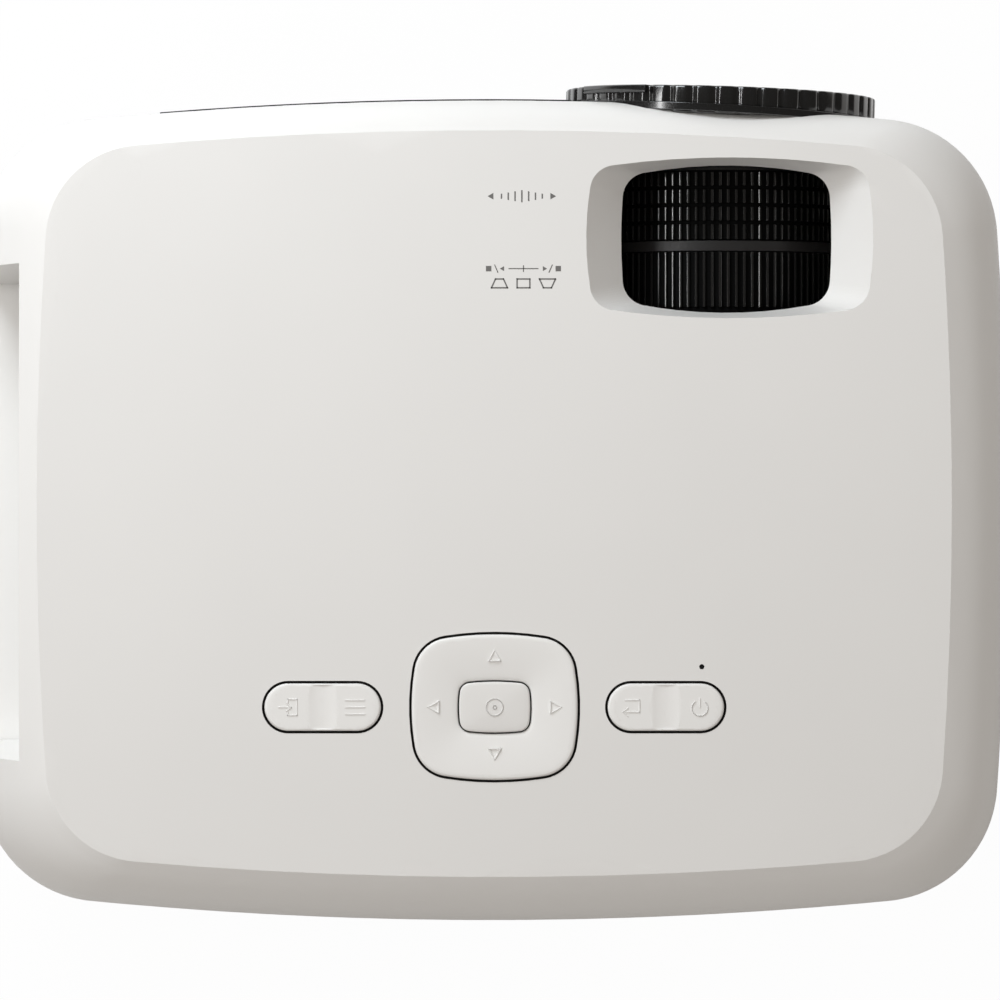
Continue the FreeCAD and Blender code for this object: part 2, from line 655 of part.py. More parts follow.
def make_collar_and_cap():
    collar = turned("Collar", [
        ("collar_bore", -3), ("collar_neck", -3), ("collar_neck", 0), ("collar_radius", 0),
        ("collar_radius", "collar_recess"), ("collar_neck", "collar_recess"),
        ("collar_neck", 8), ("collar_bore", 8)])
    node(square_to_face(collar), "lens_collar", "lens_x", "face_y", "lens_height")
    front = "-cap_lift - cap_thickness"
    shell = turned("Cap", [
        (0, front), ("cap_radius - 0.6", front), ("cap_radius", f"{front} + 0.6"),
        ("cap_radius", "-cap_lift"), ("collar_neck + 0.3", "-cap_lift"),
        ("collar_neck + 0.3", -3.3), (0, -3.3)])
    flute = circles(shell, "Flute", "XZ_Plane", ["0.9"])
    drive(flute, ".AttachmentOffset.Base.x", "cap_radius + 0.3")
    flutes = pocket(shell, flute, "2.6")
    ring = shell.newObject("PartDesign::PolarPattern", "Flutes")
    ring.Originals = [flutes]
    ring.Axis = (origin_plane(shell, "Y_Axis"), [""])
    ring.Angle = 360
    ring.Occurrences = 43
    shell.Tip = ring
    tab = doc.addObject("Part::Cylinder", "Tab")
    tab.Angle = 31
    tab.Placement = FreeCAD.Placement(FreeCAD.Vector(), ALONG["y"] * FreeCAD.Rotation(Z_AXIS, -60))
    drive(tab, "Radius", "cap_radius + 1")
    drive(tab, "Height", 2)
    move(tab, 0, front)
    tab = cut(tab, rod("y", "cap_radius - 1.4", "-10", "1"))
    cap = fuse(shell, tab)
    node(square_to_face(cap), "lens_cap", "lens_x", "face_y", "lens_height")


def make_focus_ring():
    bore = "mount_radius + ring_gap"
    points = [(bore, "focus_front"), ("barrel_radius - 1", "focus_front"),
              ("barrel_radius", "focus_front + 1")]
    for groove in (3, 2, 1):
        middle = f"focus_rear - {groove} * 4.4"
        low = f"{middle} - groove_width / 2"
        high = f"{middle} + groove_width / 2"
        points += [("barrel_radius", low), ("barrel_radius - groove_depth", low),
                   ("barrel_radius - groove_depth", high), ("barrel_radius", high)]
    channel = "mount_radius + 1.8"
    points += [("barrel_radius", "focus_rear"), (bore, "focus_rear"),
               (bore, "focus_rear - 4"), (channel, "focus_rear - 4"),
               (channel, "focus_rear - 16"), (bore, "focus_rear - 16")]
    node(turned("FocusRing", points), "focus_ring", "lens_x", 0, "lens_height")


def make_keystone_ring():
    bore = "mount_radius + ring_gap"
    points = [(bore, "keystone_front"), ("barrel_radius", "keystone_front"),
              ("barrel_radius", "keystone_rear - 1.6"), ("barrel_radius - 0.8", "keystone_rear - 1.4"),
              ("barrel_radius - 0.8", "keystone_rear"), (bore, "keystone_rear")]
    node(turned("KeystoneRing", points), "keystone_ring", "lens_x", 0, "lens_height")


def make_lens_mount():
    inner = "mount_radius - mount_wall"
    band = "barrel_radius - 0.4"
    sleeve = turned("Sleeve", [
        (inner, "lens_front + 1"), ("mount_radius", "lens_front + 1"),
        ("mount_radius", "focus_rear + 0.2"), (band, "focus_rear + 0.2"),
        (band, "keystone_front - 0.2"), ("mount_radius", "keystone_front - 0.2"),
        ("mount_radius", "lens_rear"), (inner, "lens_rear")])
    flange = cut(block("-engine_width / 2 + 2", "engine_width / 2 - 2", "lens_rear - 3",
                       "lens_rear", "engine_floor - lens_height + 2",
                       "engine_top - lens_height - 2"),
                 rod("y", f"{inner}", "lens_rear - 4", "lens_rear + 1"))
    whole = cut(fuse(sleeve, flange),
                block(-1.7, 1.7, "focus_rear - 15.5", "focus_rear - 4.5", "-mount_radius - 1", -20))
    retaining_ring = tube("y", "barrel_radius - 0.8", "mount_radius + 0.05", "focus_front - 1.6",
                          "focus_front - 0.3")
    node(group(whole, retaining_ring), "lens_mount", "lens_x", 0, "lens_height")


def make_lens_tube():
    outer = "mount_radius - mount_wall - ring_gap"
    step, stop = "mount_radius - mount_wall - 4.8", "mount_radius - mount_wall - 8"
    seat = "mount_radius - mount_wall - 2.5"
    points = [(seat, "lens_front + 2"), (outer, "lens_front + 2"), (outer, "lens_rear - 8"),
              (step, "lens_rear - 8"), (step, "lens_rear - 16"), (stop, "lens_rear - 16"),
              (stop, "lens_rear - 26"), (step, "lens_rear - 26"), (step, "lens_front + 13"),
              (seat, "lens_front + 13")]
    guide_pin = rod("z", 1.5, "-mount_radius - 1.5", f"-({seat}) - 1", y="focus_rear - 10")
    node(fuse(turned("LensTube", points), guide_pin), "lens_tube", "lens_x", 0, "lens_height")


def make_lens(radius, front, back, bulge_front, bulge_back):
    """A lens with a straight edge from front to back and a bulge on each side of it."""
    def ball(bulge, apex, sign):
        sphere_radius = f"(({radius}) * ({radius}) + {bulge} * {bulge}) / (2 * {bulge})"
        obj = doc.addObject("Part::Sphere", "Ball")
        drive(obj, "Radius", sphere_radius)
        return move(obj, y=f"{apex} + {sign} * {sphere_radius}")
    edge = rod("y", radius, f"{front} - {bulge_front} - 1", f"{back} + {bulge_back} + 1")
    return common(common(edge, ball(bulge_front, f"{front} - {bulge_front}", 1)),
                  ball(bulge_back, f"{back} + {bulge_back}", -1))


def make_lenses():
    seat = "mount_radius - mount_wall - 2.8"
    step = "mount_radius - mount_wall - 5.1"
    front = make_lens(seat, "lens_front + 7", "lens_front + 12.3", 3.4, 2)
    middle = make_lens(step, "lens_rear - 31", "lens_rear - 26.6", 2, 1.2)
    rear = make_lens(step, "lens_rear - 15.3", "lens_rear - 11", 1.4, 1.8)
    node(group(front, middle, rear), "projection_lenses", "lens_x", 0, "lens_height")


# ---- projection engine -----------------------------------------------------------------

PLATE_LOW = "engine_floor + engine_wall"
PLATE_PLACES = {"lcd_panel": (0, 2.6), "collector_lens": (12, 2)}


def make_engine_housing():
    left, right = "engine_left - engine_wall", "engine_right + engine_wall"
    body = block("engine_right", "engine_left", "lens_rear", "engine_rear", "engine_floor",
                 "engine_top")
    ribs = []
    for start, thickness in PLATE_PLACES.values():
        for low in (f"{start} - 1.4", f"{start} + {thickness} + 0.2"):
            ribs.append(block(right, f"{right} + 3", low, f"{low} + 1.2", PLATE_LOW, "engine_top"))
            ribs.append(block(f"{left} - 3", left, low, f"{low} + 1.2", PLATE_LOW, "engine_top"))
    room = cut(block(right, left, "lens_rear + engine_wall", "engine_rear - engine_wall",
                     PLATE_LOW, "engine_top + 1"), *ribs)
    beam = "mount_radius - mount_wall + 0.3"
    holes = [rod("y", beam, "lens_rear - 1", "lens_rear + engine_wall + 1", "lens_x",
                 z="lens_height"),
             block("engine_middle - 29", "engine_middle + 29", "engine_rear - engine_wall - 1",
                   "engine_rear + 1", "lens_height - 25", "lens_height + 25"),
             rod("x", 1.6, "engine_right - 1", "engine_left + 1", y="engine_rear - 46",
                 z="lens_height - 1.5")]
    node(cut(body, room, *holes), "engine_housing")
    node(block("engine_right", "engine_left", "lens_rear", "engine_rear", "engine_top",
               "engine_top + 1.6"), "engine_lid")


def make_engine_plates():
    for label, (start, thickness) in PLATE_PLACES.items():
        node(block("engine_right + engine_wall + 0.1", "engine_left - engine_wall - 0.1", start,
                   f"{start} + {thickness}", PLATE_LOW, "engine_top - 0.2"), label)
    middle_y, middle_z = "engine_rear - 46", "lens_height - 1.5"
    frame = cut(fuse(block("engine_right + engine_wall + 1", "engine_left - engine_wall - 1",
                           f"{middle_y} - 2", f"{middle_y} + 2", f"{middle_z} - 27",
                           f"{middle_z} + 27"),
                     rod("x", 1.52, "engine_right + 0.4", "engine_left - 0.4", y=middle_y, z=middle_z)),
                block("engine_right + 9", "engine_left - 9", f"{middle_y} - 3", f"{middle_y} + 3",
                      f"{middle_z} - 22", f"{middle_z} + 22"))
    node(frame, "keystone_frame")
    node(block("engine_right + 9", "engine_left - 9", f"{middle_y} - 1", f"{middle_y} + 1",
               f"{middle_z} - 22", f"{middle_z} + 22"), "field_lens")


def make_lamp():
    rear = "engine_rear + 16"
    funnel = cut(block("engine_middle - 31", "engine_middle + 31", "engine_rear", rear,
                       "lens_height - 28", "lens_height + 28"),
                 cone("y", 25, 12, "engine_rear - 0.01", f"{rear} + 0.01", "engine_middle",
                      z="lens_height"))
    node(funnel, "lamp_reflector")
    node(make_lens(18.3, "engine_rear + 4", "engine_rear + 8", 4, 0.6), "condenser_lens",
         "lens_x", 0, "lens_height")
    board = fuse(block("engine_middle - 20", "engine_middle + 20", rear, f"{rear} + 1.6",
                       "lens_height - 20", "lens_height + 20"),
                 block("engine_middle - 5", "engine_middle + 5", f"{rear} - 1.4", rear,
                       "lens_height - 5", "lens_height + 5"))
    node(board, "lamp_chip")
    base = f"{rear} + 1.6"
    fins = [block("engine_middle - 30", "engine_middle + 30", base, f"{base} + 4",
                  "lens_height - 26", "lens_height + 26")]
    for index in range(11):
        low = f"engine_middle - 30 + {index} * 5.86"
        fins.append(block(low, f"{low} + 1.4", f"{base} + 3", f"{base} + 33.4",
                          "lens_height - 26", "lens_height + 26"))
    node(fuse(*fins), "lamp_heat_sink")


# ---- fans and speaker ------------------------------------------------------------------

def make_fan(name, size, thickness, turn, x, y, z):
    """A fan about its own axis, its motor plate at the bottom, then turned and placed."""
    duct = f"{size} / 2 - 1.3"
    hub = f"{size} * 0.19"
    solid = block(f"-{size} / 2", f"{size} / 2", f"-{size} / 2", f"{size} / 2", 0, thickness)
    holes = [rod("z", duct, -1, f"{thickness} + 1")]
    for across, along in corner_spots(f"({size} / 2 - 4)", f"({size} / 2 - 4)"):
        holes.append(rod("z", 2, -1, f"{thickness} + 1", across, along))
    struts = [rod("z", hub, 0, 1.6), rod("z", 1.5, 0, f"{thickness} - 3")]
    for index in range(3):
        strut = block(0, f"{duct} + 0.5", -1.2, 1.2, 0, 1.6)
        strut.Placement.Rotation = FreeCAD.Rotation(Z_AXIS, 30 + 120 * index)
        angle = 30 + 120 * index
        struts.append(move(strut, f"1.2 * sin({angle})", f"-1.2 * cos({angle})"))
    frame = fuse(cut(solid, *holes), *struts)
    blades = []
    for index in range(7):
        angle = 360 * index / 7
        blade = doc.addObject("Part::Box", "Blade")
        drive(blade, "Length", duct)
        drive(blade, "Width", 1)
        drive(blade, "Height", f"2 * {thickness}")
        tilt = FreeCAD.Rotation(Z_AXIS, angle) * FreeCAD.Rotation(X_AXIS, 42)
        blade.Placement = FreeCAD.Placement(tilt.multVec(FreeCAD.Vector(0, -0.5, -value(thickness) * 0.7)),
                                            tilt)
        blades.append(blade)
    swept = common(fuse(*blades), tube("z", f"{duct} - 0.7", f"{hub} - 0.5", 2.4, f"{thickness} - 0.8"))
    rotor = cut(fuse(rod("z", hub, 2, f"{thickness} - 0.6"), swept),
                rod("z", 1.56, 1, f"{thickness} - 2.6"))
    for obj, label in ((frame, f"{name}_frame"), (rotor, f"{name}_rotor")):
        obj.Placement = FreeCAD.Placement(FreeCAD.Vector(), turn)
        node(obj, label, x, y, z)


def make_speaker():
    front = "half_depth - 8.7"
    frame = turned("SpeakerFrame", [
        (13.6, front), (16, front), (16, f"{front} - 1.6"), (10.4, f"{front} - 7"),
        (10.4, f"{front} - 8"), (4.6, f"{front} - 8"), (4.6, f"{front} - 7"),
        (9.4, f"{front} - 7"), (13.6, f"{front} - 2.6")])
    magnet = rod("y", 10, f"{front} - 15", f"{front} - 8")
    node(group(frame, magnet), "speaker_frame", "speaker_x", 0, SPEAKER_Z)
    node(turned("SpeakerCone", [
        (0, f"{front} - 5"), (4, f"{front} - 5"), (13.3, f"{front} - 0.8"), (13.3, f"{front} - 0.3"),
        (4, f"{front} - 4.2"), (0, f"{front} - 3.4")]), "speaker_cone", "speaker_x", 0, SPEAKER_Z)


# ---- disc drive ------------------------------------------------------------------------

SLED_TURN = 225
SLED_START, SLED_END = 16, 31
SLED_AXIS = 2.3
ROD_SPREAD = 11
SCREW_SPREAD = 16


def about_spindle(obj):
    """Turn obj, drawn about the spindle with the sled's path along X, onto that path."""
    obj.Placement = FreeCAD.Placement(FreeCAD.Vector(), FreeCAD.Rotation(Z_AXIS, SLED_TURN))
    return obj


def make_drive_case():
    half, sheet_edge = "drive_width / 2", "drive_sheet"
    outer = block("drive_back", "drive_front", f"drive_y - {half}", f"drive_y + {half}",
                  "drive_floor", "drive_top")
    inner = block(f"drive_back + {sheet_edge}", "drive_front + 1",
                  f"drive_y - {half} + {sheet_edge}", f"drive_y + {half} - {sheet_edge}",
                  f"drive_floor + {sheet_edge}", f"drive_top - {sheet_edge}")
    node(cut(outer, inner), "drive_case")
    guides, rails = [], []
    for side in (-1, 1):
        wall = f"drive_y + {side} * ({half} - {sheet_edge})"
        face = f"drive_y + {side} * (tray_half + 0.8)"
        middle = "drive_floor + 6.6"
        ends = (face, wall) if side > 0 else (wall, face)
        bar = block("drive_back + 2", "drive_front - 6", *ends, f"{middle} - 4", f"{middle} + 4")
        near, far = f"drive_y + {side} * tray_half", f"drive_y + {side} * (tray_half + 2.2)"
        ends = (near, far) if side > 0 else (far, near)
        guides.append(cut(bar, block("drive_back", "drive_front", *ends, f"{middle} - 2.2",
                                     f"{middle} + 2.2")))
        near, far = f"drive_y + {side} * (tray_half + 0.3)", f"drive_y + {side} * (tray_half + 1.9)"
        ends = (near, far) if side > 0 else (far, near)
        rails.append(block("drive_back + 4", "drive_front - 4", *ends, f"{middle} - 2", f"{middle} + 2"))
    node(group(*guides), "drive_guides")
    node(group(*rails), "tray_rails")
    node(block("drive_back + 1", "drive_back + 2.2", "drive_y - 40", "drive_y + 40",
               "drive_floor + 1", "drive_top - 1.2"), "drive_board")


def make_disc_tray():
    floor, top = "drive_floor + 2", "drive_floor + 10.8"
    plate = block("tray_back", "notch_wall_x", "drive_y - tray_half", "drive_y + tray_half", floor, top)
    hollow = block("tray_back + 2", "notch_wall_x - 3", "drive_y - tray_half + 2",
                   "drive_y + tray_half - 2", f"{floor} - 1", f"{top} - 2.8")
    well = rod("z", "disc_radius + 0.6", f"{top} - 1.4", f"{top} + 1", "spindle_x", "drive_y")
    eye = rod("z", 16, floor, f"{top} + 1", "spindle_x", "drive_y")
    path = about_spindle(group(block(8, "disc_radius + 6", -7, 7, 0, 12)))
    path = move(path, "spindle_x", "drive_y", floor)
    tray = cut(plate, hollow, well, eye, path)
    lips = []
    for side in (-1, 1):
        near, far = f"drive_y + {side} * (tray_half - 0.4)", f"drive_y + {side} * (tray_half + 0.5)"
        ends = (near, far) if side > 0 else (far, near)
        for low in ("drive_floor + 3.6", "drive_floor + 8.9"):
            lips.append(block("tray_back", "drive_front - 2", *ends, low, f"{low} + 0.7"))
    node(fuse(tray, *lips), "disc_tray")


def make_bezel():
    front = "notch_wall_x + bezel_thickness"
    bezel = new_body("Bezel")
    floor, top = "split_height + 0.5", "notch_floor - 0.6"
    outline = polygon(bezel, "BezelFace", "YZ_Plane",
                      [("drive_y - drive_width / 2 + 0.4", floor),
                       ("drive_y + drive_width / 2 - 0.4", floor),
                       ("drive_y + drive_width / 2 - 0.4", top),
                       ("drive_y - drive_width / 2 + 0.4", top)], z="notch_wall_x")
    pad(bezel, outline, "bezel_thickness")
    middle = f"({floor} + ({top})) / 2"
    holes = [block("notch_wall_x + 1", "half_width", "drive_y + 38", "drive_y + 48",
                   f"{middle} - 2", f"{middle} + 2"),
             rod("x", 0.6, "notch_wall_x + 3", "half_width", y="drive_y + 32", z=middle)]
    node(cut(bezel, *holes), "tray_bezel")
    node(block("notch_wall_x + 2", f"{front} + 0.5", "drive_y + 38.2", "drive_y + 47.8",
               f"{middle} - 1.8", f"{middle} + 1.8"), "eject_button")


def make_disc_mechanism():
    floor = "drive_floor + 2.2"
    plate = block("tray_back + 2.2", "notch_wall_x - 3.2", "drive_y - tray_half + 2.2",
                  "drive_y + tray_half - 2.2", floor, f"{floor} + 0.8")
    posts = []
    for start in ("13", "disc_radius + 2"):
        for low, high in ((-12, -9), (9, 18)):
            posts.append(block(start, f"{start} + 1.2", low, high, 0, 4.4))
    posts = move(about_spindle(group(*posts)), "spindle_x", "drive_y", f"{floor} + 0.8")
    top = "drive_floor + 3"
    rods = [rod("x", 1, 14.2, "disc_radius + 2", y=side * ROD_SPREAD, z=SLED_AXIS) for side in (-1, 1)]
    rods = move(about_spindle(group(*rods)), "spindle_x", "drive_y", top)
    node(group(fuse(plate, posts), rods), "mechanism_plate")
    motor = fuse(rod("z", 11, top, f"{top} + 3.2", "spindle_x", "drive_y"),
                 rod("z", 1, f"{top} + 3", f"{top} + 5.4", "spindle_x", "drive_y"))
    hub = turned("Hub", [(1.05, 3.5), (13.5, 3.5), (14, 4), (14, 4.9), (7.3, 4.9), (7.3, 6.6),
                         (6.3, 7.6), (0, 7.6), (0, 5.8), (1.05, 5.8)], "z")
    catches = []
    for index in range(3):
        catch = doc.addObject("Part::Sphere", "Catch")
        drive(catch, "Radius", 0.7)
        catches.append(move(catch, f"7.1 * cos({120 * index})", f"7.1 * sin({120 * index})", 6))
    node(fuse(hub, *catches), "disc_hub", "spindle_x", "drive_y", top)
    sled_motor = about_spindle(group(rod("x", 2.2, 2, 12.9, y=SCREW_SPREAD, z=SLED_AXIS)))
    node(group(motor, move(sled_motor, "spindle_x", "drive_y", top)), "drive_motors")
    make_sled(top)


def make_sled(top):
    sled = block(SLED_START, SLED_END, -8.5, 8.5, 0.6, 4)
    sleeves, bores = [], []
    for side in (-1, 1):
        sleeves.append(rod("x", 1.9, SLED_START + 2, SLED_END - 3, y=side * ROD_SPREAD,
                           z=SLED_AXIS))
        sleeves.append(block(SLED_START + 2, SLED_END - 3, *sorted((side * 8, side * 10)), 1, 3.6))
        bores.append(rod("x", 1.06, SLED_START, SLED_END, y=side * ROD_SPREAD, z=SLED_AXIS))
    finger = block(SLED_START + 4, SLED_END - 5, ROD_SPREAD + 1.5, SCREW_SPREAD - 1.3, 1.4, 3.2)
    holder = rod("z", 4, 4, 5, x=24)
    whole = cut(fuse(sled, holder, *sleeves, finger), *bores)
    node(about_spindle(whole), "pickup_sled", "spindle_x", "drive_y", top)
    lens = rod("z", 2.2, 5, 5.6, x=24)
    node(about_spindle(group(lens)), "pickup_lens", "spindle_x", "drive_y", top)
    screw = rod("x", 1, 14.3, "disc_radius + 1.9", y=SCREW_SPREAD, z=SLED_AXIS)
    node(about_spindle(group(screw)), "sled_screw", "spindle_x", "drive_y", top)


# ---- keys ------------------------------------------------------------------------------

KEY_FLOOR = "inner_top - 1.6"
FLANGE_HEIGHT = "0.6"
DOME_HEIGHT = 0.8
PAD_DOMES = [(17.5, 0), (-17.5, 0), (0, 15), (0, -15)]
PILL_DOMES = [(9, 0), (-9, 0)]


def make_key(label, x, outline, flange, domes, reach, hole=None):
    """A key that stands through the top on a wider flange, with a post over each dome."""
    body = new_body("Key")
    pad(body, outline(body, "Face", KEY_FLOOR), f"key_top - ({KEY_FLOOR})")
    pad(body, flange(body, "Flange", KEY_FLOOR), FLANGE_HEIGHT)
    if hole:
        doc.recompute()
        body.Tip = pocket(body, hole(body, "Hole", KEY_FLOOR), "10", upward=True)
    posts = [rod("z", 1.5, f"key_board_top + {DOME_HEIGHT} + {reach}", f"{KEY_FLOOR} + 0.4", across,
                 along) for across, along in domes]
    node(fuse(body, *posts), label, x, "key_y", 0)


def pad_outline(grow):
    def draw(body, name, z):
        return bulged(body, name, f"pad_width / 2 + ({grow})", f"pad_depth / 2 + ({grow})",
                      f"pad_corner + ({grow})", "60", "80", z=z)
    return draw


def ok_outline(grow):
    def draw(body, name, z):
        return bulged(body, name, f"ok_width / 2 + ({grow})", f"ok_depth / 2 + ({grow})",
                      f"ok_corner + ({grow})", "30", "60", z=z)
    return draw


def pill_outline(grow):
    def draw(body, name, z):
        return slot(body, name, f"pill_width + 2 * ({grow})", f"pill_depth + 2 * ({grow})", z=z)
    return draw


def make_keys():
    make_key("direction_key", "pad_x", pad_outline("0"), pad_outline("key_flange"), PAD_DOMES, 0.7,
             ok_outline("key_gap"))
    for label, x in (("source_menu_key", "pill_left_x"), ("return_power_key", "pill_right_x")):
        make_key(label, x, pill_outline("0"), pill_outline("key_flange"), PILL_DOMES, 0.5)
    ok_key = new_body("OkKey")
    floor = f"{KEY_FLOOR} - 1.7"
    pad(ok_key, ok_outline("0")(ok_key, "Face", floor), f"key_top - 0.2 - ({floor})")
    pad(ok_key, ok_outline("key_flange")(ok_key, "Flange", floor), "1")
    post = rod("z", 1.5, f"key_board_top + {DOME_HEIGHT} + 0.8", f"{floor} + 0.5")
    node(fuse(ok_key, post), "ok_key", "pad_x", "key_y", 0)


def make_key_supports():
    board = block("pad_x - 62", "pad_x + 61", "key_y - 20", "key_y + 20", "key_board_floor",
                  "key_board_top")
    holes = [rod("z", 1, "key_board_floor - 1", "key_board_top + 1", x, y)
             for x, y in key_board_spots()]
    node(cut(board, *holes), "key_board")
    domes = [("pad_x", "key_y")]
    domes += [(f"pad_x + {x}", f"key_y + {y}") for x, y in PAD_DOMES]
    domes += [(f"{pill} + {x}", f"key_y + {y}") for pill in ("pill_left_x", "pill_right_x")
              for x, y in PILL_DOMES]
    node(group(*[cone("z", 3, 1.6, "key_board_top", f"key_board_top + {DOME_HEIGHT}", x, y)
                 for x, y in domes]), "dome_switches")
    ring = new_body("Gimbal")
    low = "key_board_top + 3.4"
    pad(ring, bulged(ring, "Outside", "15.5", "12.9", "8", "60", "60", z=low), "1.8")
    doc.recompute()
    hole = pocket(ring, bulged(ring, "Inside", "12.2", "9.8", "5", "60", "60", z=low), "4",
                  upward=True)
    ring.Tip = hole
    nubs = [rod("z", 1.2, f"{low} + 1.5", f"{KEY_FLOOR} - 0.3", 0, y) for y in (-11.35, 11.35)]
    nubs += [rod("z", 1.2, "key_board_top + 0.3", f"{low} + 0.3", x, 0) for x in (-13.85, 13.85)]
    node(fuse(ring, *nubs), "direction_key_rocker", "pad_x", "key_y", 0)
    pads = [block(f"{x} - 2", f"{x} + 2", "key_y - 4", "key_y + 4", "key_board_top + 0.05",
                  f"{KEY_FLOOR} - 0.2") for x in ("pill_left_x", "pill_right_x")]
    node(group(*pads), "key_fulcrums")
    node(turned("LightPipe", [(0, "key_board_top + 0.3"), (2, "key_board_top + 0.3"),
                              (2, "inner_top - 0.3"), ("light_radius - 0.08", "inner_top - 0.3"),
                              ("light_radius - 0.08", "total_height - 0.8"),
                              (0, "total_height - 0.8")], "z"),
         "status_light_pipe", "light_x", "light_y")


# ---- boards, sockets and fasteners -----------------------------------------------------

def socket_end(x):
    """Where a socket near the rear wall stops, just inside the port plate."""
    return f"half_depth - panel_thickness - ({x}) * ({x}) / (2 * face_arc) - 0.3"


SOCKETS = [("ports_left - 14", 15, 5.6), ("ports_left - 34", 13.2, 6.4)]
JACKS = ["ports_left - 48", "ports_left - 59"]
POWER_INLET_X = "ports_left - 77"


def make_boards():
    top = "board_floor + board_thickness"
    main = block("board_start", "board_end", 4, 92, "board_floor", top)
    power = block("board_start", "board_end", -80, -4, "board_floor", top)
    holes = [rod("z", 1.5, "board_floor - 1", f"{top} + 1", x, y) for x, y in board_spots()]
    holes += [rod("z", 4.5, "board_floor - 1", f"{top} + 1", x, y) for x, y in drive_spots()]
    holes = fuse(*holes)
    chips = group(block(28, 50, 40, 62, top, f"{top} + 2"),
                  block(58, 72, 44, 58, top, f"{top} + 1.4"),
                  block(12, 22, 30, 44, top, f"{top} + 1.4"),
                  block(62, 76, 20, 30, top, f"{top} + 1.6"))
    node(group(cut(main, holes), move(chips, "board_start")), "main_board")
    core = fuse(block(40, 72, -62, -36, top, f"{top} + 5"),
                block(44, 68, -60, -38, f"{top} + 5", f"{top} + 19"),
                block(40, 72, -62, -36, f"{top} + 19", f"{top} + 24"))
    parts = group(core, rod("z", 8, top, f"{top} + 26", 18, -64),
                  rod("z", 5, top, f"{top} + 18", 34, -66), rod("z", 4, top, f"{top} + 14", 76, -20),
                  rod("z", 4, top, f"{top} + 14", 76, -32))
    node(group(cut(power, holes), move(parts, "board_start")), "power_board")


def make_port_plate():
    top = "board_floor + board_thickness"
    plate = common(arc_plate("panel_thickness", "0", 1),
                   block("ports_right", "ports_left", "half_depth - 12", "half_depth + 3",
                         "ports_bottom", "ports_top"))
    holes, sockets = [], []
    for x, width, height in SOCKETS:
        low, high = f"{x} - {width} / 2", f"{x} + {width} / 2"
        shell = block(low, high, "half_depth - 22", socket_end(x), top, f"{top} + {height}")
        mouth = block(f"{low} + 0.7", f"{high} - 0.7", "half_depth - 14", "half_depth + 1",
                      f"{top} + 0.7", f"{top} + {height} - 0.7")
        tongue = block(f"{low} + 2", f"{high} - 2", "half_depth - 14.5", f"{socket_end(x)} - 1.5",
                       f"{top} + {height} / 2 - 0.6", f"{top} + {height} / 2 + 0.6")
        sockets.append(fuse(cut(shell, mouth), tongue))
        holes.append(block(f"{low} - 0.3", f"{high} + 0.3", "half_depth - 14", "half_depth + 4",
                           f"{top} - 0.3", f"{top} + {height} + 0.3"))
    for x in JACKS:
        base = block(f"{x} - 3.8", f"{x} + 3.8", "half_depth - 16", socket_end(x), top, f"{top} + 7.6")
        sockets.append(cut(base, rod("y", 1.8, "half_depth - 14", "half_depth", x, z=f"{top} + 3.8")))
        holes.append(rod("y", 3.2, "half_depth - 14", "half_depth + 4", x, z=f"{top} + 3.8"))
    low, high = f"{POWER_INLET_X} - 10", f"{POWER_INLET_X} + 10"
    inlet = cut(block(low, high, "half_depth - 20", "half_depth - 0.4", "ports_bottom + 3",
                      "ports_bottom + 15"),
                block(f"{low} + 2", f"{high} - 2", "half_depth - 12", "half_depth + 1",
                      "ports_bottom + 5", "ports_bottom + 13"))
    pins = [rod("y", 1.2, "half_depth - 12.5", "half_depth - 3", f"{POWER_INLET_X} + {side * 4.3}",
                z="ports_bottom + 9") for side in (-1, 1)]
    node(group(*sockets), "signal_sockets")
    node(fuse(inlet, *pins), "power_inlet")
    holes.append(block(f"{low} - 0.2", f"{high} + 0.2", "half_depth - 14", "half_depth + 4",
                       "ports_bottom + 2.8", "ports_bottom + 15.2"))
    node(cut(plate, *holes), "port_plate")


def make_fasteners_and_feet():
    seat = "split_height - 8"
    case = [fuse(rod("z", "screw_head", f"{seat} - 2.2", seat, x, y),
                 rod("z", "screw_radius - 0.08", f"{seat} - 0.2", "split_height + 8", x, y))
            for x, y in corner_spots("boss_x", "boss_y")]
    top = "board_floor + board_thickness"
    boards = [fuse(rod("z", 2.4, top, f"{top} + 1.6", x, y),
                   rod("z", 1.2, "board_floor - 5", f"{top} + 0.2", x, y))
              for x, y in board_spots()]
    keys = [fuse(rod("z", 1.8, "key_board_floor - 1.4", "key_board_floor", x, y),
                 rod("z", 0.78, "key_board_floor - 0.2", "key_board_top + 4", x, y))
            for x, y in key_board_spots()]
    node(group(*case, *boards, *keys), "screws")
    node(group(*[rod("z", "foot_radius", 0, "foot_height + 1.2", x, y)
                 for x, y in corner_spots("foot_x", "foot_y")]), "rubber_feet")
    node(cut(hexagon(INSERT_CORNER, "foot_height", "foot_height + 8.9"),
             rod("z", 2.6, "foot_height - 1", "foot_height + 9.9")), "tripod_insert")
    front = "-half_depth + 24"
    node(fuse(rod("z", 8.6, 0.8, "foot_height + 1.2", y=front),
              rod("z", 4.12, 1, "foot_height + 18", y=front)), "height_foot")


# ---- the whole projector ---------------------------------------------------------------

make_top_shell()
make_bottom_shell()
make_front_panel()
make_collar_and_cap()
make_focus_ring()
make_keystone_ring()
make_lens_mount()
make_lens_tube()
make_lenses()
make_engine_housing()
make_engine_plates()
make_lamp()
make_fan("exhaust_fan", "fan_size", "fan_thickness", FreeCAD.Rotation(Y_AXIS, 90),
         "-half_width + wall + 1.9", FAN_Y, 48)
make_fan("lamp_fan", "lamp_fan_size", "lamp_fan_thickness", FreeCAD.Rotation(X_AXIS, -90),
         "engine_middle", "engine_rear + 51.2", "lens_height")
make_speaker()
make_drive_case()
make_disc_tray()
make_bezel()
make_disc_mechanism()
make_keys()
make_key_supports()
make_boards()
make_port_plate()
make_fasteners_and_feet()

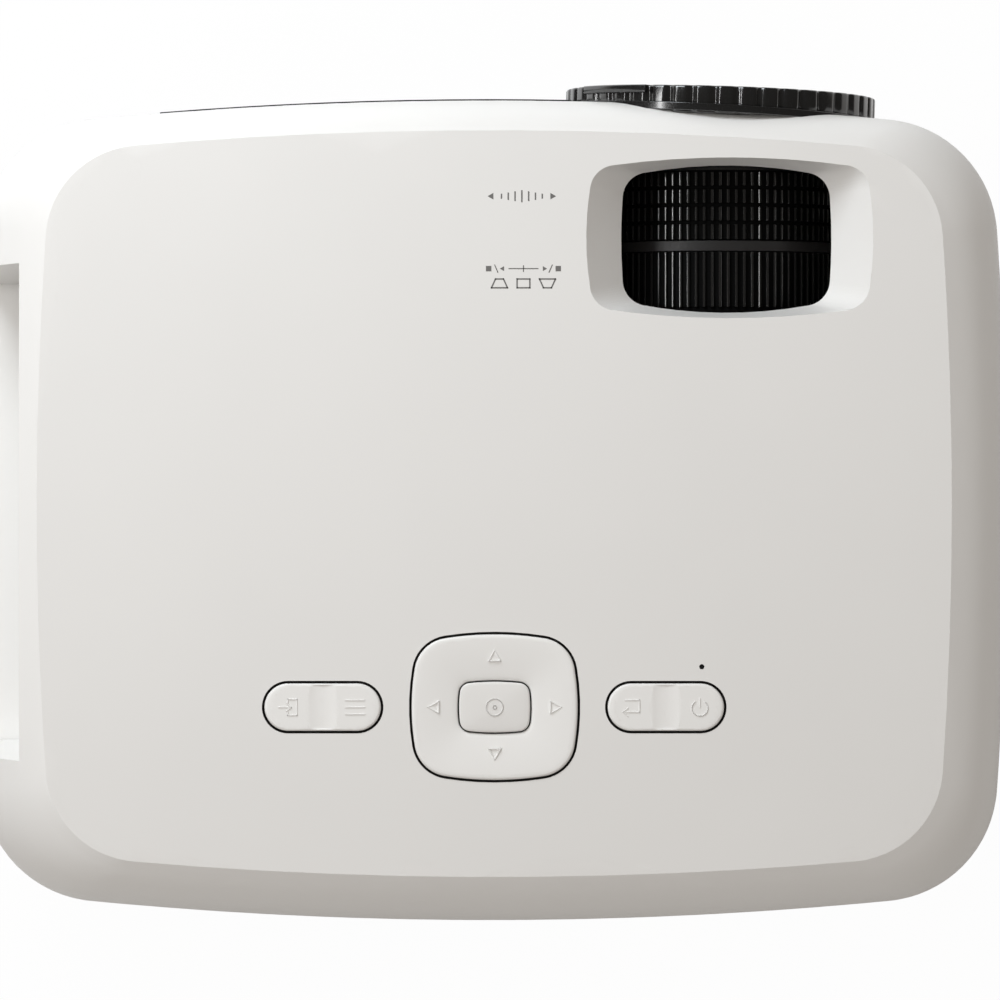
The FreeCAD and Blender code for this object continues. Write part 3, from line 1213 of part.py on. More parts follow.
doc.recompute()
faults = [f"{obj.Name} {obj.Label}" for obj in doc.Objects
          if "Invalid" in obj.State or "Error" in obj.State]
faults += [obj.Label for obj in nodes if obj.Shape.isNull() or not obj.Shape.isValid()]
if faults:
    raise RuntimeError("not built: " + ", ".join(faults))

os.makedirs("parts", exist_ok=True)
for obj in nodes:
    obj.Shape.exportStep(f"parts/{obj.Label}.step")
    print(obj.Label, len(obj.Shape.Solids), round(obj.Shape.Volume / 1000, 2))
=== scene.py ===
import json
import math

import bmesh
import bpy
from bpy.props import FloatProperty, FloatVectorProperty, IntProperty, PointerProperty
from mathutils import Matrix, Vector

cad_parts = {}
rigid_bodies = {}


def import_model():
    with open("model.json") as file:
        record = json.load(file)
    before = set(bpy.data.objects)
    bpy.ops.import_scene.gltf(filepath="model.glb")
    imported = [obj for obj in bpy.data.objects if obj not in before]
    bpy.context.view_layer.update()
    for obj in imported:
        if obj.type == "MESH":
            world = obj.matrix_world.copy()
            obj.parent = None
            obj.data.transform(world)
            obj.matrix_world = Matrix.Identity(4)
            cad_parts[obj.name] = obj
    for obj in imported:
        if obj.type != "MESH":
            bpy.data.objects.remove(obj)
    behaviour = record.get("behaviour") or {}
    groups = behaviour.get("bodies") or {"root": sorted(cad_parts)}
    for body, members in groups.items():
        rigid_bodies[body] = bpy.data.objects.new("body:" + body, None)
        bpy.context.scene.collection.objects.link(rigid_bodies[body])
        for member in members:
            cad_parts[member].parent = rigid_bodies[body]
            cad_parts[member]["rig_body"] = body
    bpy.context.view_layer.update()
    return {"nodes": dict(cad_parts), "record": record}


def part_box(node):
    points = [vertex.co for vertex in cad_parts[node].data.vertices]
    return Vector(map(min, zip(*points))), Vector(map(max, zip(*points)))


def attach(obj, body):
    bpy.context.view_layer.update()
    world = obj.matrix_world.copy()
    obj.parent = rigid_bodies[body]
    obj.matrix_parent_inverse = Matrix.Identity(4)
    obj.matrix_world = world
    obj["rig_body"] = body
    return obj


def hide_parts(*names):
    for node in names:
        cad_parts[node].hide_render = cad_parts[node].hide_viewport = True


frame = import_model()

bl_info = {
    "name": "Projector with a disc tray",
    "version": (1, 0, 0),
    "blender": (4, 5, 0),
    "location": "3D View > Sidebar > Projector",
    "description": "Finishes the projector: edges, ribbed rings, dished keys, marks, materials",
    "category": "Object",
}

MM = 0.001
MERGE = 0.002 * MM
FLAT = math.radians(0.4)
CROWN = 104 * MM
LOOK = "_look"
NUMBER, TONE, DIRECTION = "NodeSocketFloat", "NodeSocketColor", "NodeSocketVector"
# A rib's outline: its place across, in shares of a rib's pitch, and its height.
RIB_OUTLINE = ((-0.17, 0.0), (-0.17, 0.7), (-0.155, 0.88), (-0.115, 0.98), (-0.06, 1.0),
               (0.06, 1.0), (0.115, 0.98), (0.155, 0.88), (0.17, 0.7), (0.17, 0.0))
RIB_POINTS = len(RIB_OUTLINE)
# The share of a flute's pitch that is hollow, and the points that draw one pitch.
FLUTE_SHARE = 0.55
FLUTE_POINTS = 12
SLOT_OF = {item["node"]: item["material_slot"] for item in frame["record"]["subparts"]}


# ---- sizes and colours that a user would change ----

def length(name, description, millimetres):
    return FloatProperty(name=name, description=description, default=millimetres * MM,
                         min=0, unit="LENGTH", precision=5)


def share(name, description, default):
    return FloatProperty(name=name, description=description, default=default, min=0, max=1,
                         subtype="FACTOR")


def count(name, description, default):
    return IntProperty(name=name, description=description, default=default, min=3)


def colour(name, description, red, green, blue):
    return FloatVectorProperty(name=name, description=description, size=3, min=0, max=1,
                               subtype="COLOR", default=(red, green, blue))


class ProjectorSizes(bpy.types.PropertyGroup):
    """Sizes of what is finished here; the rest comes from the frame"""
    case_edge: length("Case edge", "Rounding of the case's edges", 0.3)
    fine_edge: length("Fine edge", "Rounding of small pieces' edges", 0.15)
    rib_count: count("Ribs", "Ribs round each lens ring", 98)
    rib_depth: length("Rib depth", "How deep the ribs of a lens ring are cut", 0.7)
    row_pitch: length("Row pitch", "From one row of ribs on the focus ring to the next", 4.4)
    row_gap: length("Row gap", "Groove between two rows of ribs", 0.9)
    row_count: count("Rows", "Rows of ribs on the focus ring", 4)
    key_round: length("Key edge", "Rounding of a key's top edge", 0.7)
    pad_dish: length("Pad dish", "How far the direction key dips towards its middle", 1.1)
    pill_dip: length("Pill dip", "Depth of the saddle in the middle of a pill key", 0.38)
    relief: length("Relief", "Height of the moulded signs on the keys", 0.2)
    relief_width: length("Relief width", "Width of the strokes of the moulded signs", 0.5)
    print_height: length("Print height", "Thickness of printed marks", 0.02)
    line_width: length("Line width", "Width of the lines of printed marks", 0.35)
    foot_ribs: count("Foot ribs", "Ribs round the height foot", 36)
    cap_flutes: count("Cap flutes", "Flutes round the lens cap", 43)
    cap_tilt: share("Cap tilt", "Share of the front's slant that the cap's rim follows", 0.55)
    flute_depth: length("Flute depth", "Depth of the lens cap's flutes", 0.85)
    crease_edge: length("Crease edge", "Rounding of the crease round the top face", 1.3)


class ProjectorFinish(bpy.types.PropertyGroup):
    """Colours and roughness of the finishes"""
    shell_white: colour("Case", "Moulded white of the case", 0.79, 0.783, 0.768)
    key_white: colour("Keys", "White of the keys", 0.83, 0.825, 0.81)
    key_grey: colour("Centre key", "White of the centre key", 0.78, 0.772, 0.755)
    barrel_black: colour("Barrel", "Black of the lens rings and the cap", 0.008, 0.008, 0.008)
    panel_black: colour("Panels", "Black of the panels and inner mouldings", 0.02, 0.019, 0.019)
    print_grey: colour("Print", "Printed marks", 0.17, 0.165, 0.16)
    board_green: colour("Boards", "Solder mask of the boards", 0.02, 0.16, 0.06)
    steel: colour("Sheet steel", "Plated sheet steel", 0.56, 0.57, 0.58)
    aluminium: colour("Aluminium", "Extruded aluminium", 0.78, 0.78, 0.79)
    brass: colour("Brass", "Turned brass", 0.72, 0.52, 0.22)
    case_roughness: share("Case roughness", "Roughness of the white case", 0.38)
    barrel_roughness: share("Barrel roughness", "Roughness of the lens rings", 0.17)


def sizes():
    return bpy.context.scene.projector_sizes


def finish():
    return bpy.context.scene.projector_finish


# ---- shader groups and materials ----

def new_group(name, inputs, outputs):
    """A shader group with its sockets, and its input and output nodes."""
    group = bpy.data.node_groups.new(name, "ShaderNodeTree")
    for label, kind, default in inputs:
        socket = group.interface.new_socket(name=label, in_out="INPUT", socket_type=kind)
        socket.default_value = default
    for label, kind in outputs:
        group.interface.new_socket(name=label, in_out="OUTPUT", socket_type=kind)
    return group, group.nodes.new("NodeGroupInput"), group.nodes.new("NodeGroupOutput")


def add_node(tree, kind, *inputs, **values):
    """A node with its inputs and properties set; an input given a socket is linked to it."""
    node = tree.nodes.new(kind)
    given = list(zip(node.inputs, inputs))
    for name, value in values.items():
        if hasattr(node, name):
            setattr(node, name, value)
        else:
            given.append((node.inputs[name.replace("_", " ")], value))
    for socket, value in given:
        if isinstance(value, bpy.types.NodeSocket):
            tree.links.new(value, socket)
        else:
            socket.default_value = value
    return node


def object_place(tree):
    return add_node(tree, "ShaderNodeTexCoord").outputs["Object"]


def spread(tree, value, low, high):
    """Take a noise value's middle range to low..high."""
    return add_node(tree, "ShaderNodeMapRange", Value=value, From_Min=0.3, From_Max=0.7,
                    To_Min=low, To_Max=high).outputs[0]


def one_less(tree, amount):
    """One less a group's input, for the darkest level of a colour."""
    return add_node(tree, "ShaderNodeMath", 1, amount, operation="SUBTRACT").outputs[0]


def vary_colour(tree, given, made, level):
    """Multiply the group's colour by a level that changes over the surface."""
    shade = add_node(tree, "ShaderNodeVectorMath", given.outputs["Colour"], operation="SCALE",
                     Scale=level)
    tree.links.new(shade.outputs[0], made.inputs["Colour"])


def vary_gloss(tree, given, made, change):
    """Add a small change over the surface to the group's roughness."""
    total = add_node(tree, "ShaderNodeMath", given.outputs["Roughness"], change, operation="ADD")
    tree.links.new(total.outputs[0], made.inputs["Roughness"])


def raise_bumps(tree, made, distance, strength, height):
    """Turn a height that changes over the surface into the group's normal."""
    bump = add_node(tree, "ShaderNodeBump", Distance=distance, Strength=strength, Height=height)
    tree.links.new(bump.outputs[0], made.inputs["Normal"])


def grain_group():
    """Moulded plastic: a fine grain, slow drifts of shade and small changes of gloss."""
    tree, given, made = new_group(
        "Moulded grain",
        [("Colour", TONE, (0.8, 0.8, 0.8, 1)), ("Roughness", NUMBER, 0.4), ("Drift", NUMBER, 0.02),
         ("Grain size", NUMBER, 2500), ("Grain depth", NUMBER, 0.1)],
        [("Colour", TONE), ("Roughness", NUMBER), ("Normal", DIRECTION)])
    place = object_place(tree)
    slow = add_node(tree, "ShaderNodeTexNoise", Vector=place, Detail=3, Scale=22).outputs["Fac"]
    fine = add_node(tree, "ShaderNodeTexNoise", Vector=place, Detail=4,
                    Scale=given.outputs["Grain size"]).outputs["Fac"]
    vary_colour(tree, given, made, spread(tree, slow, one_less(tree, given.outputs["Drift"]), 1))
    vary_gloss(tree, given, made, spread(tree, fine, -0.04, 0.06))
    raise_bumps(tree, made, 0.03 * MM, given.outputs["Grain depth"], fine)


def brushed_group():
    """Metal with fine lines along one direction."""
    tree, given, made = new_group(
        "Brushed lines",
        [("Colour", TONE, (0.6, 0.6, 0.6, 1)), ("Roughness", NUMBER, 0.3),
         ("Lines", DIRECTION, (1, 1, 1)), ("Depth", NUMBER, 0.1)],
        [("Colour", TONE), ("Roughness", NUMBER), ("Normal", DIRECTION)])
    stretch = add_node(tree, "ShaderNodeVectorMath", object_place(tree), given.outputs["Lines"],
                       operation="MULTIPLY")
    lines = add_node(tree, "ShaderNodeTexNoise", Vector=stretch.outputs[0], Detail=5,
                     Scale=1).outputs["Fac"]
    vary_colour(tree, given, made, spread(tree, lines, 0.86, 1))
    vary_gloss(tree, given, made, spread(tree, lines, 0.1, -0.05))
    raise_bumps(tree, made, 0.02 * MM, given.outputs["Depth"], lines)


def cells_group():
    """Open foam, rubber and pressed paper: small rounded cells."""
    tree, given, made = new_group(
        "Small cells",
        [("Colour", TONE, (0.1, 0.1, 0.1, 1)), ("Cell size", NUMBER, 900), ("Depth", NUMBER, 0.4),
         ("Contrast", NUMBER, 0.4)],
        [("Colour", TONE), ("Normal", DIRECTION)])
    cells = add_node(tree, "ShaderNodeTexVoronoi", feature="SMOOTH_F1", Vector=object_place(tree),
                     Scale=given.outputs["Cell size"]).outputs["Distance"]
    level = add_node(tree, "ShaderNodeMapRange", Value=cells, From_Max=0.7, To_Max=1.15,
                     To_Min=one_less(tree, given.outputs["Contrast"]))
    vary_colour(tree, given, made, level.outputs[0])
    raise_bumps(tree, made, 0.15 * MM, given.outputs["Depth"], cells)


def new_material(name, group, given, **plain):
    """A Principled material fed by a group; plain values sit on the shader's own sockets."""
    material = bpy.data.materials.new(name + LOOK)
    material.use_nodes = True
    tree = material.node_tree
    shader = tree.nodes["Principled BSDF"]
    for label, value in plain.items():
        shader.inputs[label.replace("_", " ")].default_value = value
    placed = add_node(tree, "ShaderNodeGroup", node_tree=bpy.data.node_groups[group])
    for label, value in given.items():
        placed.inputs[label].default_value = value
    for output in placed.outputs:
        socket = "Base Color" if output.name == "Colour" else output.name
        tree.links.new(output, shader.inputs[socket])


def moulded(name, tone, roughness, drift, grain, depth, **plain):
    new_material(name, "Moulded grain",
                 {"Colour": (*tone, 1), "Roughness": roughness, "Drift": drift,
                  "Grain size": grain, "Grain depth": depth}, **plain)


def make_plastics():
    look = finish()
    moulded("shell_white", look.shell_white, look.case_roughness, drift=0.015, grain=3200,
            depth=0.12, Coat_Weight=0.1, Coat_Roughness=0.25)
    moulded("lens_black", look.barrel_black, look.barrel_roughness, drift=0.1, grain=2600,
            depth=0.02, Specular_IOR_Level=1, Coat_Weight=0.6, Coat_Roughness=0.12)
    for name, tone, roughness, drift, grain, depth, plain in (
            ("key_white", look.key_white, 0.4, 0.01, 3600, 0.1, {}),
            ("key_grey", look.key_grey, 0.4, 0.01, 3600, 0.1, {}),
            # The next dull near-black, with little reflection, is painted shade for the floors
            # between the lens rings' ribs.
            ("rib_root", (0.002, 0.002, 0.002), 0.8, 0.15, 2600, 0.1, {"Specular_IOR_Level": 0.1}),
            ("panel_black", look.panel_black, 0.42, 0.12, 1700, 0.35, {}),
            ("dark_window", (0.035, 0.006, 0.01), 0.08, 0.1, 900, 0.02, {"Coat_Weight": 0.6}),
            ("key_silicone", (0.42, 0.42, 0.41), 0.6, 0.06, 1800, 0.2, {}),
            # The next dark grey is painted shade for the keys' skirts and flanges under the case,
            # so the gaps round the keys look dark.
            ("key_skirt", (0.045, 0.043, 0.04), 0.8, 0.06, 1800, 0.2, {}),
            ("chip_black", (0.03, 0.03, 0.032), 0.55, 0.1, 3000, 0.4, {}),
            ("print_grey", look.print_grey, 0.55, 0.08, 4000, 0.05, {}),
            ("pinhole_black", (0.004, 0.004, 0.004), 0.5, 0.1, 2000, 0.05, {}),
            ("lamp_reflector", (0.82, 0.82, 0.8), 0.12, 0.04, 800, 0.04, {"Metallic": 0.9}),
            ("lamp_chip", (0.86, 0.72, 0.2), 0.5, 0.1, 3000, 0.3, {}),
            ("indicator_green", (0.1, 0.5, 0.16), 0.2, 0.08, 1500, 0.05, {"Coat_Weight": 0.5}),
            ("speaker_metal", (0.03, 0.03, 0.03), 0.45, 0.1, 1400, 0.15, {}),
            ("green_board", look.board_green, 0.35, 0.25, 500, 0.15, {"Coat_Weight": 0.4}),
            ("optical_glass", (0.86, 0.92, 0.98), 0.03, 0.02, 900, 0.005,
             {"Transmission_Weight": 0.95, "IOR": 1.52}),
            ("clear_acrylic", (0.92, 0.93, 0.93), 0.08, 0.02, 900, 0.02,
             {"Transmission_Weight": 0.85, "IOR": 1.49})):
        moulded(name, tone, roughness, drift, grain, depth, **plain)


def make_metals():
    look = finish()
    for name, tone, roughness, lines, depth in (
            ("sheet_steel", look.steel, 0.32, (60, 4000, 4000), 0.12),
            ("screw_steel", (0.5, 0.5, 0.48), 0.3, (900, 900, 900), 0.08),
            ("bare_aluminium", look.aluminium, 0.34, (4000, 90, 4000), 0.15),
            ("brass", look.brass, 0.28, (1800, 1800, 300), 0.1)):
        new_material(name, "Brushed lines",
                     {"Colour": (*tone, 1), "Roughness": roughness, "Lines": lines,
                      "Depth": depth}, Metallic=1)


def make_soft_materials():
    for name, tone, cell_size, depth, contrast, roughness in (
            ("black_rubber", (0.022, 0.022, 0.022), 2600, 0.3, 0.35, 0.72),
            ("filter_foam", (0.03, 0.03, 0.03), 750, 1.0, 0.75, 0.95),
            ("speaker_paper", (0.05, 0.048, 0.046), 1900, 0.35, 0.4, 0.85)):
        new_material(name, "Small cells",
                     {"Colour": (*tone, 1), "Cell size": cell_size, "Depth": depth,
                      "Contrast": contrast}, Roughness=roughness)


# ---- making pieces ----

def middle(node):
    low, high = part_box(node)
    return (low + high) / 2


def extent(node):
    low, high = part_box(node)
    return high - low


def body_of(node):
    return frame["nodes"][node]["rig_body"]


def put_in_order(bm):
    """Sort edges and faces by their points, because extruding orders them anew each run."""
    bm.verts.index_update()
    count = len(bm.verts)

    def key(item):
        value = 0
        for index in sorted(vert.index for vert in item.verts)[:3]:
            value = value * count + index
        return value
    bm.edges.sort(key=key)
    bm.faces.sort(key=key)


def add_piece(name, bm, slot, body, look=None, sharp=32, outward=True):
    """Turn a bmesh into a piece that rides on a body."""
    if outward:
        bmesh.ops.recalc_face_normals(bm, faces=bm.faces[:])
        put_in_order(bm)
    mesh = bpy.data.meshes.new(name)
    bm.to_mesh(mesh)
    bm.free()
    mesh.shade_smooth()
    mesh.set_sharp_from_angle(angle=math.radians(sharp))
    mesh.materials.append(bpy.data.materials[(look or slot) + LOOK])
    piece = bpy.data.objects.new(name, mesh)
    bpy.context.scene.collection.objects.link(piece)
    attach(piece, body)
    return piece


def stand_in(name, bm, slot, node, sharp=32):
    """A piece that rides on a frame node's body and is shown in its place."""
    piece = add_piece(name, bm, slot, body_of(node), sharp=sharp)
    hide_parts(node)
    return piece


def soften(piece, width, segments=2, angle=30, harden=False):
    """Round a piece's edges and keep its flat faces flat."""
    bevel = piece.modifiers.new("Soft edges", "BEVEL")
    bevel.width = width
    bevel.segments = segments
    bevel.limit_method = "ANGLE"
    bevel.angle_limit = math.radians(angle)
    if harden:
        bevel.harden_normals = True
    else:
        piece.modifiers.new("Even shading", "WEIGHTED_NORMAL").keep_sharp = True


def level_rim(bm, level, fall=0.3 * MM, lift=0.9):
    """Lift what lies within a small fall below a level nearly up to it."""
    for vert in bm.verts:
        if level - fall < vert.co.z < level:
            vert.co.z += (level - vert.co.z) * lift


def refine(node, width, segments=2, angle=30, harden=False, level=None):
    """A copy of a frame node with its triangles joined and its edges softly rounded."""
    bm = bmesh.new()
    bm.from_mesh(frame["nodes"][node].data)
    bmesh.ops.remove_doubles(bm, verts=bm.verts[:], dist=MERGE)
    if level:
        level_rim(bm, level)
    bmesh.ops.dissolve_limit(bm, angle_limit=FLAT, verts=bm.verts[:], edges=bm.edges[:])
    piece = add_piece(node + "_body", bm, SLOT_OF[node], body_of(node), sharp=angle, outward=False)
    soften(piece, width, segments, angle, harden)
    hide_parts(node)
    return piece


def loft_loops(bm, places, points, closed=True):
    """Loops of points joined one to the next. Each place gives a loop's point for an angle."""
    turn = bm.verts.layers.float.get("turn") or bm.verts.layers.float.new("turn")
    loop = bmesh.ops.create_circle(bm, segments=points, radius=1, cap_ends=False)["verts"]
    for vert in loop:
        vert[turn] = math.atan2(vert.co.y, vert.co.x)
        vert.co = places[0](vert[turn])
    first = edges = list(dict.fromkeys(edge for vert in loop for edge in vert.link_edges))
    for place in places[1:]:
        grown = bmesh.ops.extrude_edge_only(bm, edges=edges)["geom"]
        verts = [item for item in grown if isinstance(item, bmesh.types.BMVert)]
        fresh = set(verts)
        edges = [item for item in grown if isinstance(item, bmesh.types.BMEdge)
                 and item.verts[0] in fresh and item.verts[1] in fresh]
        for vert in verts:
            vert.co = place(vert[turn])
    if closed:
        bmesh.ops.bridge_loops(bm, edges=first + edges)
    else:
        bmesh.ops.contextual_create(bm, geom=first)
        bmesh.ops.contextual_create(bm, geom=edges)


def about_y(axis, radius, y):
    """A loop's place on a circle about a level axis through axis."""
    return lambda angle: Vector((axis.x + radius * math.cos(angle), y,
                                 axis.z + radius * math.sin(angle)))


def about_z(axis, radius, z):
    return lambda angle: Vector((axis.x + radius * math.cos(angle),
                                 axis.y + radius * math.sin(angle), z))


def ribbed(place, axis, radius, depth, teeth, level):
    """A loop like a gear's outline: narrow ribs with round crests and wide gaps between."""
    def point(angle):
        step = round(angle / (2 * math.pi) * teeth * RIB_POINTS)
        across, height = RIB_OUTLINE[step % RIB_POINTS]
        turn = 2 * math.pi / teeth * (step // RIB_POINTS + across)
        return place(axis, radius - depth * (1 - height), level)(turn)
    return point


def second_look(piece, look, chosen):
    """Give the faces whose middle is chosen a second material."""
    piece.data.materials.append(bpy.data.materials[look + LOOK])
    for face in piece.data.polygons:
        if chosen(face.center):
            face.material_index = 1


def shade_gaps(piece, axis, radius, depth):
    """The floors of the gaps between ribs get a duller, darker black: painted shade for their deep
    shadow.
    """
    second_look(piece, "rib_root", lambda spot: math.hypot(
        spot.x - axis.x, spot.z - axis.z) < radius - 0.6 * depth)


def fluted(radius, depth, flutes, level):
    """A loop about a level axis at the origin, with rounded flutes and plain lands between."""
    def point(angle):
        phase = angle / (2 * math.pi) * flutes % 1
        sink = math.sin(math.pi * phase / FLUTE_SHARE) ** 2 if phase < FLUTE_SHARE else 0
        return about_y(Vector(), radius - depth * sink, level)(angle)
    return point


def rib_row(bm, place, axis, radius, inner, start, end, teeth, depth, chamfer):
    """One closed band of ribs between start and end along its axis."""
    lead = chamfer if end > start else -chamfer
    outline = [(radius - chamfer, start), (radius, start + lead), (radius, end - lead),
               (radius - chamfer, end)]
    places = [ribbed(place, axis, across, depth, teeth, level) for across, level in outline]
    places += [place(axis, inner, end), place(axis, inner, start)]
    loft_loops(bm, places, teeth * RIB_POINTS)


def band(bm, place, axis, profile, points=128):
    """A closed ring turned from a list of radii and levels."""
    loft_loops(bm, [place(axis, radius, level) for radius, level in profile], points)


def prism(bm, radius, depth, sides):
    """An upright prism about the origin."""
    return bmesh.ops.create_cone(bm, segments=sides, radius1=radius, radius2=radius, depth=depth,
                                 cap_ends=True)["verts"]


# ---- flat marks ----

def around(centre, radius, turn):
    """A point at a turn in degrees about a centre."""
    return (centre[0] + radius * math.cos(math.radians(turn)),
            centre[1] + radius * math.sin(math.radians(turn)))


class Marks:
    """Draws small flat marks on a level face, as someone in front of the keys reads them."""

    def __init__(self, centre, thickness, sink=0.0, crest=1.0):
        self.bm = bmesh.new()
        self.centre, self.crest = centre, crest
        self.low, self.high = centre.z - sink, centre.z + thickness

    def spot(self, right, up):
        return Vector((self.centre.x - right * MM, self.centre.y - up * MM, 0))

    def settle(self, verts, place):
        """Move a mark from the origin to its place, at its own level."""
        level = (self.low + self.high) / 2
        bmesh.ops.translate(self.bm, vec=(place.x, place.y, level), verts=verts)

    def bar(self, start, end, width):
        """A straight stroke between two points, in millimetres."""
        begin, finish_at = self.spot(*start), self.spot(*end)
        along = finish_at - begin
        made = bmesh.ops.create_cube(self.bm, size=1)["verts"]
        wide = width * MM
        upper = [vert for vert in made if vert.co.z > 0]
        bmesh.ops.scale(self.bm, vec=(along.length + wide, wide, self.high - self.low), verts=made)
        ends = 1 - (1 - self.crest) * wide / (along.length + wide)
        bmesh.ops.scale(self.bm, vec=(ends, self.crest, 1), verts=upper)
        turn = Matrix.Rotation(math.atan2(along.y, along.x), 3, "Z")
        bmesh.ops.rotate(self.bm, cent=(0, 0, 0), matrix=turn, verts=made)
        self.settle(made, (begin + finish_at) / 2)

    def path(self, points, width):
        for start, end in zip(points, points[1:]):
            self.bar(start, end, width)

    def arc(self, centre, radius, start, end, width, pieces=14):
        self.path([around(centre, radius, start + (end - start) * step / pieces)
                   for step in range(pieces + 1)], width)

    def solid(self, centre, radius, sides, turn):
        """A filled triangle or square, its first corner turned from the right."""
        made = prism(self.bm, radius * MM, self.high - self.low, sides)
        corner = math.atan2(made[0].co.y, made[0].co.x)
        spin = Matrix.Rotation(math.radians(turn) + math.pi - corner, 3, "Z")
        bmesh.ops.rotate(self.bm, cent=(0, 0, 0), matrix=spin, verts=made)
        self.settle(made, self.spot(*centre))

    def done(self, name, slot, body, look=None):
        return add_piece(name, self.bm, slot, body, look, sharp=20)


# ---- key outlines ----

def ray_to_circle(ray, centre, radius):
    """How far along a ray from the origin a circle round the origin's side is met."""
    near = ray.dot(centre)
    return near + math.sqrt(near * near - centre.length_squared + radius * radius)


def bulged(half_wide, half_deep, corner, side_bow, face_bow):
    """Reach by angle of a rounded rectangle whose sides and ends bow out with their own radii."""
    side, face = Vector((half_wide - side_bow, 0)), Vector((0, half_deep - face_bow))
    apart = face - side
    near, far = side_bow - corner, face_bow - corner
    along = (near * near - far * far + apart.length_squared) / (2 * apart.length)
    ahead = apart.normalized()
    out = math.sqrt(near * near - along * along) * Vector((-ahead.y, ahead.x))
    centre = side + along * ahead + (out if out.x > 0 else -out)
    low = side + (centre - side).normalized() * side_bow
    high = face + (centre - face).normalized() * face_bow
    low_turn, high_turn = math.atan2(low.y, low.x), math.atan2(high.y, high.x)

    def reach(angle):
        ray = Vector((abs(math.cos(angle)), abs(math.sin(angle))))
        turn = math.atan2(ray.y, ray.x)
        if turn < low_turn:
            return ray_to_circle(ray, side, side_bow)
        if turn > high_turn:
            return ray_to_circle(ray, face, face_bow)
        return ray_to_circle(ray, centre, corner)
    return reach


def rounded_bar(half_wide, half_deep):
    """Reach by angle of a bar with round ends."""
    straight = half_wide - half_deep

    def reach(angle):
        ray = Vector((abs(math.cos(angle)), abs(math.sin(angle))))
        if ray.y * straight > ray.x * half_deep:
            return half_deep / ray.y
        return ray_to_circle(ray, Vector((straight, 0)), half_deep)
    return reach


def key_loop(centre, reach, height):
    """A loop at reach(angle) from a key's middle; height may depend on x and y."""
    def point(angle):
        across, along = reach(angle) * math.cos(angle), reach(angle) * math.sin(angle)
        level = height(across, along) if callable(height) else height
        return Vector((centre.x + across, centre.y + along, level))
    return point


def between(inner, outer, part):
    return lambda angle: inner(angle) * (1 - part) + outer(angle) * part


def shrunk(outer, part):
    return lambda angle: outer(angle) * part


# ---- operators ----

class PROJECTOR_OT_materials(bpy.types.Operator):
    """Make every material and give each frame node its own"""
    bl_idname = "projector.materials"
    bl_label = "Materials"

    def execute(self, context):
        grain_group()
        brushed_group()
        cells_group()
        make_plastics()
        make_metals()
        make_soft_materials()
        for node, thing in frame["nodes"].items():
            thing.data.materials.clear()
            thing.data.materials.append(bpy.data.materials[SLOT_OF[node] + LOOK])
        return {"FINISHED"}


class PROJECTOR_OT_case(bpy.types.Operator):
    """Round the edges of the case halves, the front panel and the port plate"""
    bl_idname = "projector.case"
    bl_label = "Case"

    def execute(self, context):
        given = sizes()
        refine("top_shell", given.crease_edge, 4, 15, harden=True, level=CROWN)
        for node in ("bottom_shell", "front_panel", "port_plate"):
            refine(node, given.case_edge)
        refine("remote_window", given.fine_edge)
        return {"FINISHED"}


class PROJECTOR_OT_lens(bpy.types.Operator):
    """Round the edges of the cap, the collar and the lens parts"""
    bl_idname = "projector.lens"
    bl_label = "Lens and cap"

    def execute(self, context):
        for node in ("lens_collar", "lens_mount", "lens_tube"):
            refine(node, sizes().fine_edge)
        self.cap()
        return {"FINISHED"}

    def cap(self):
        """The fluted rim, the sunk face and the thumb tab, square to the bowed front."""
        given, axis = sizes(), Vector()
        low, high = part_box("lens_cap")
        radius, front, rear, inside = (high.z - low.z) / 2, -4.7 * MM, 2.2 * MM, -3.3 * MM
        neck, face = radius - 2.5 * MM, radius - 3.6 * MM
        bm = bmesh.new()

        def rim(trim, level):
            return fluted(radius - trim, given.flute_depth, given.cap_flutes, level)
        places = [about_y(axis, neck, inside), about_y(axis, neck, rear),
                  rim(0.25 * MM, rear), rim(0, rear - 0.25 * MM), rim(0, front + 0.5 * MM),
                  rim(0.15 * MM, front + 0.15 * MM), rim(0.5 * MM, front),
                  about_y(axis, face, front), about_y(axis, face - 0.5 * MM, front + 0.15 * MM),
                  about_y(axis, face - 0.65 * MM, front + 0.6 * MM)]
        loft_loops(bm, places, given.cap_flutes * FLUTE_POINTS, closed=False)
        self.tab(bm, radius, front)
        pull = next(Vector(joint["axis"]) for joint in frame["record"]["behaviour"]["joints"]
                    if joint["child"] == "lens_cap")
        slant = math.asin(-pull.x)
        turn = Matrix.Rotation(-slant * given.cap_tilt, 3, "Z")
        ring = middle("focus_ring")
        seat = low.y + radius * math.sin(slant) - front
        bmesh.ops.rotate(bm, cent=(0, 0, 0), matrix=turn, verts=bm.verts)
        bmesh.ops.translate(bm, vec=(ring.x, seat, ring.z), verts=bm.verts)
        stand_in("lens_cap_fluted", bm, "lens_black", "lens_cap", sharp=50)

    def tab(self, bm, radius, front):
        """A smooth lip that a thumb lifts the cap by, over part of the rim's front."""
        first, last, steps = math.radians(29), math.radians(60), 24
        inner, outer, edge, back = radius - 1.6 * MM, radius + 0.9 * MM, 0.35 * MM, front + 2 * MM
        outline = [(inner, front), (outer - edge, front), (outer - 0.1 * MM, front + 0.1 * MM),
                   (outer, front + edge), (outer, back - edge), (outer - edge, back),
                   (inner, back)]
        face = bm.faces.new([bm.verts.new(about_y(Vector(), across, level)(first))
                             for across, level in outline])
        bmesh.ops.spin(bm, geom=[face, *face.edges, *face.verts], cent=(0, 0, 0),
                       axis=(0, -1, 0), angle=last - first, steps=steps)


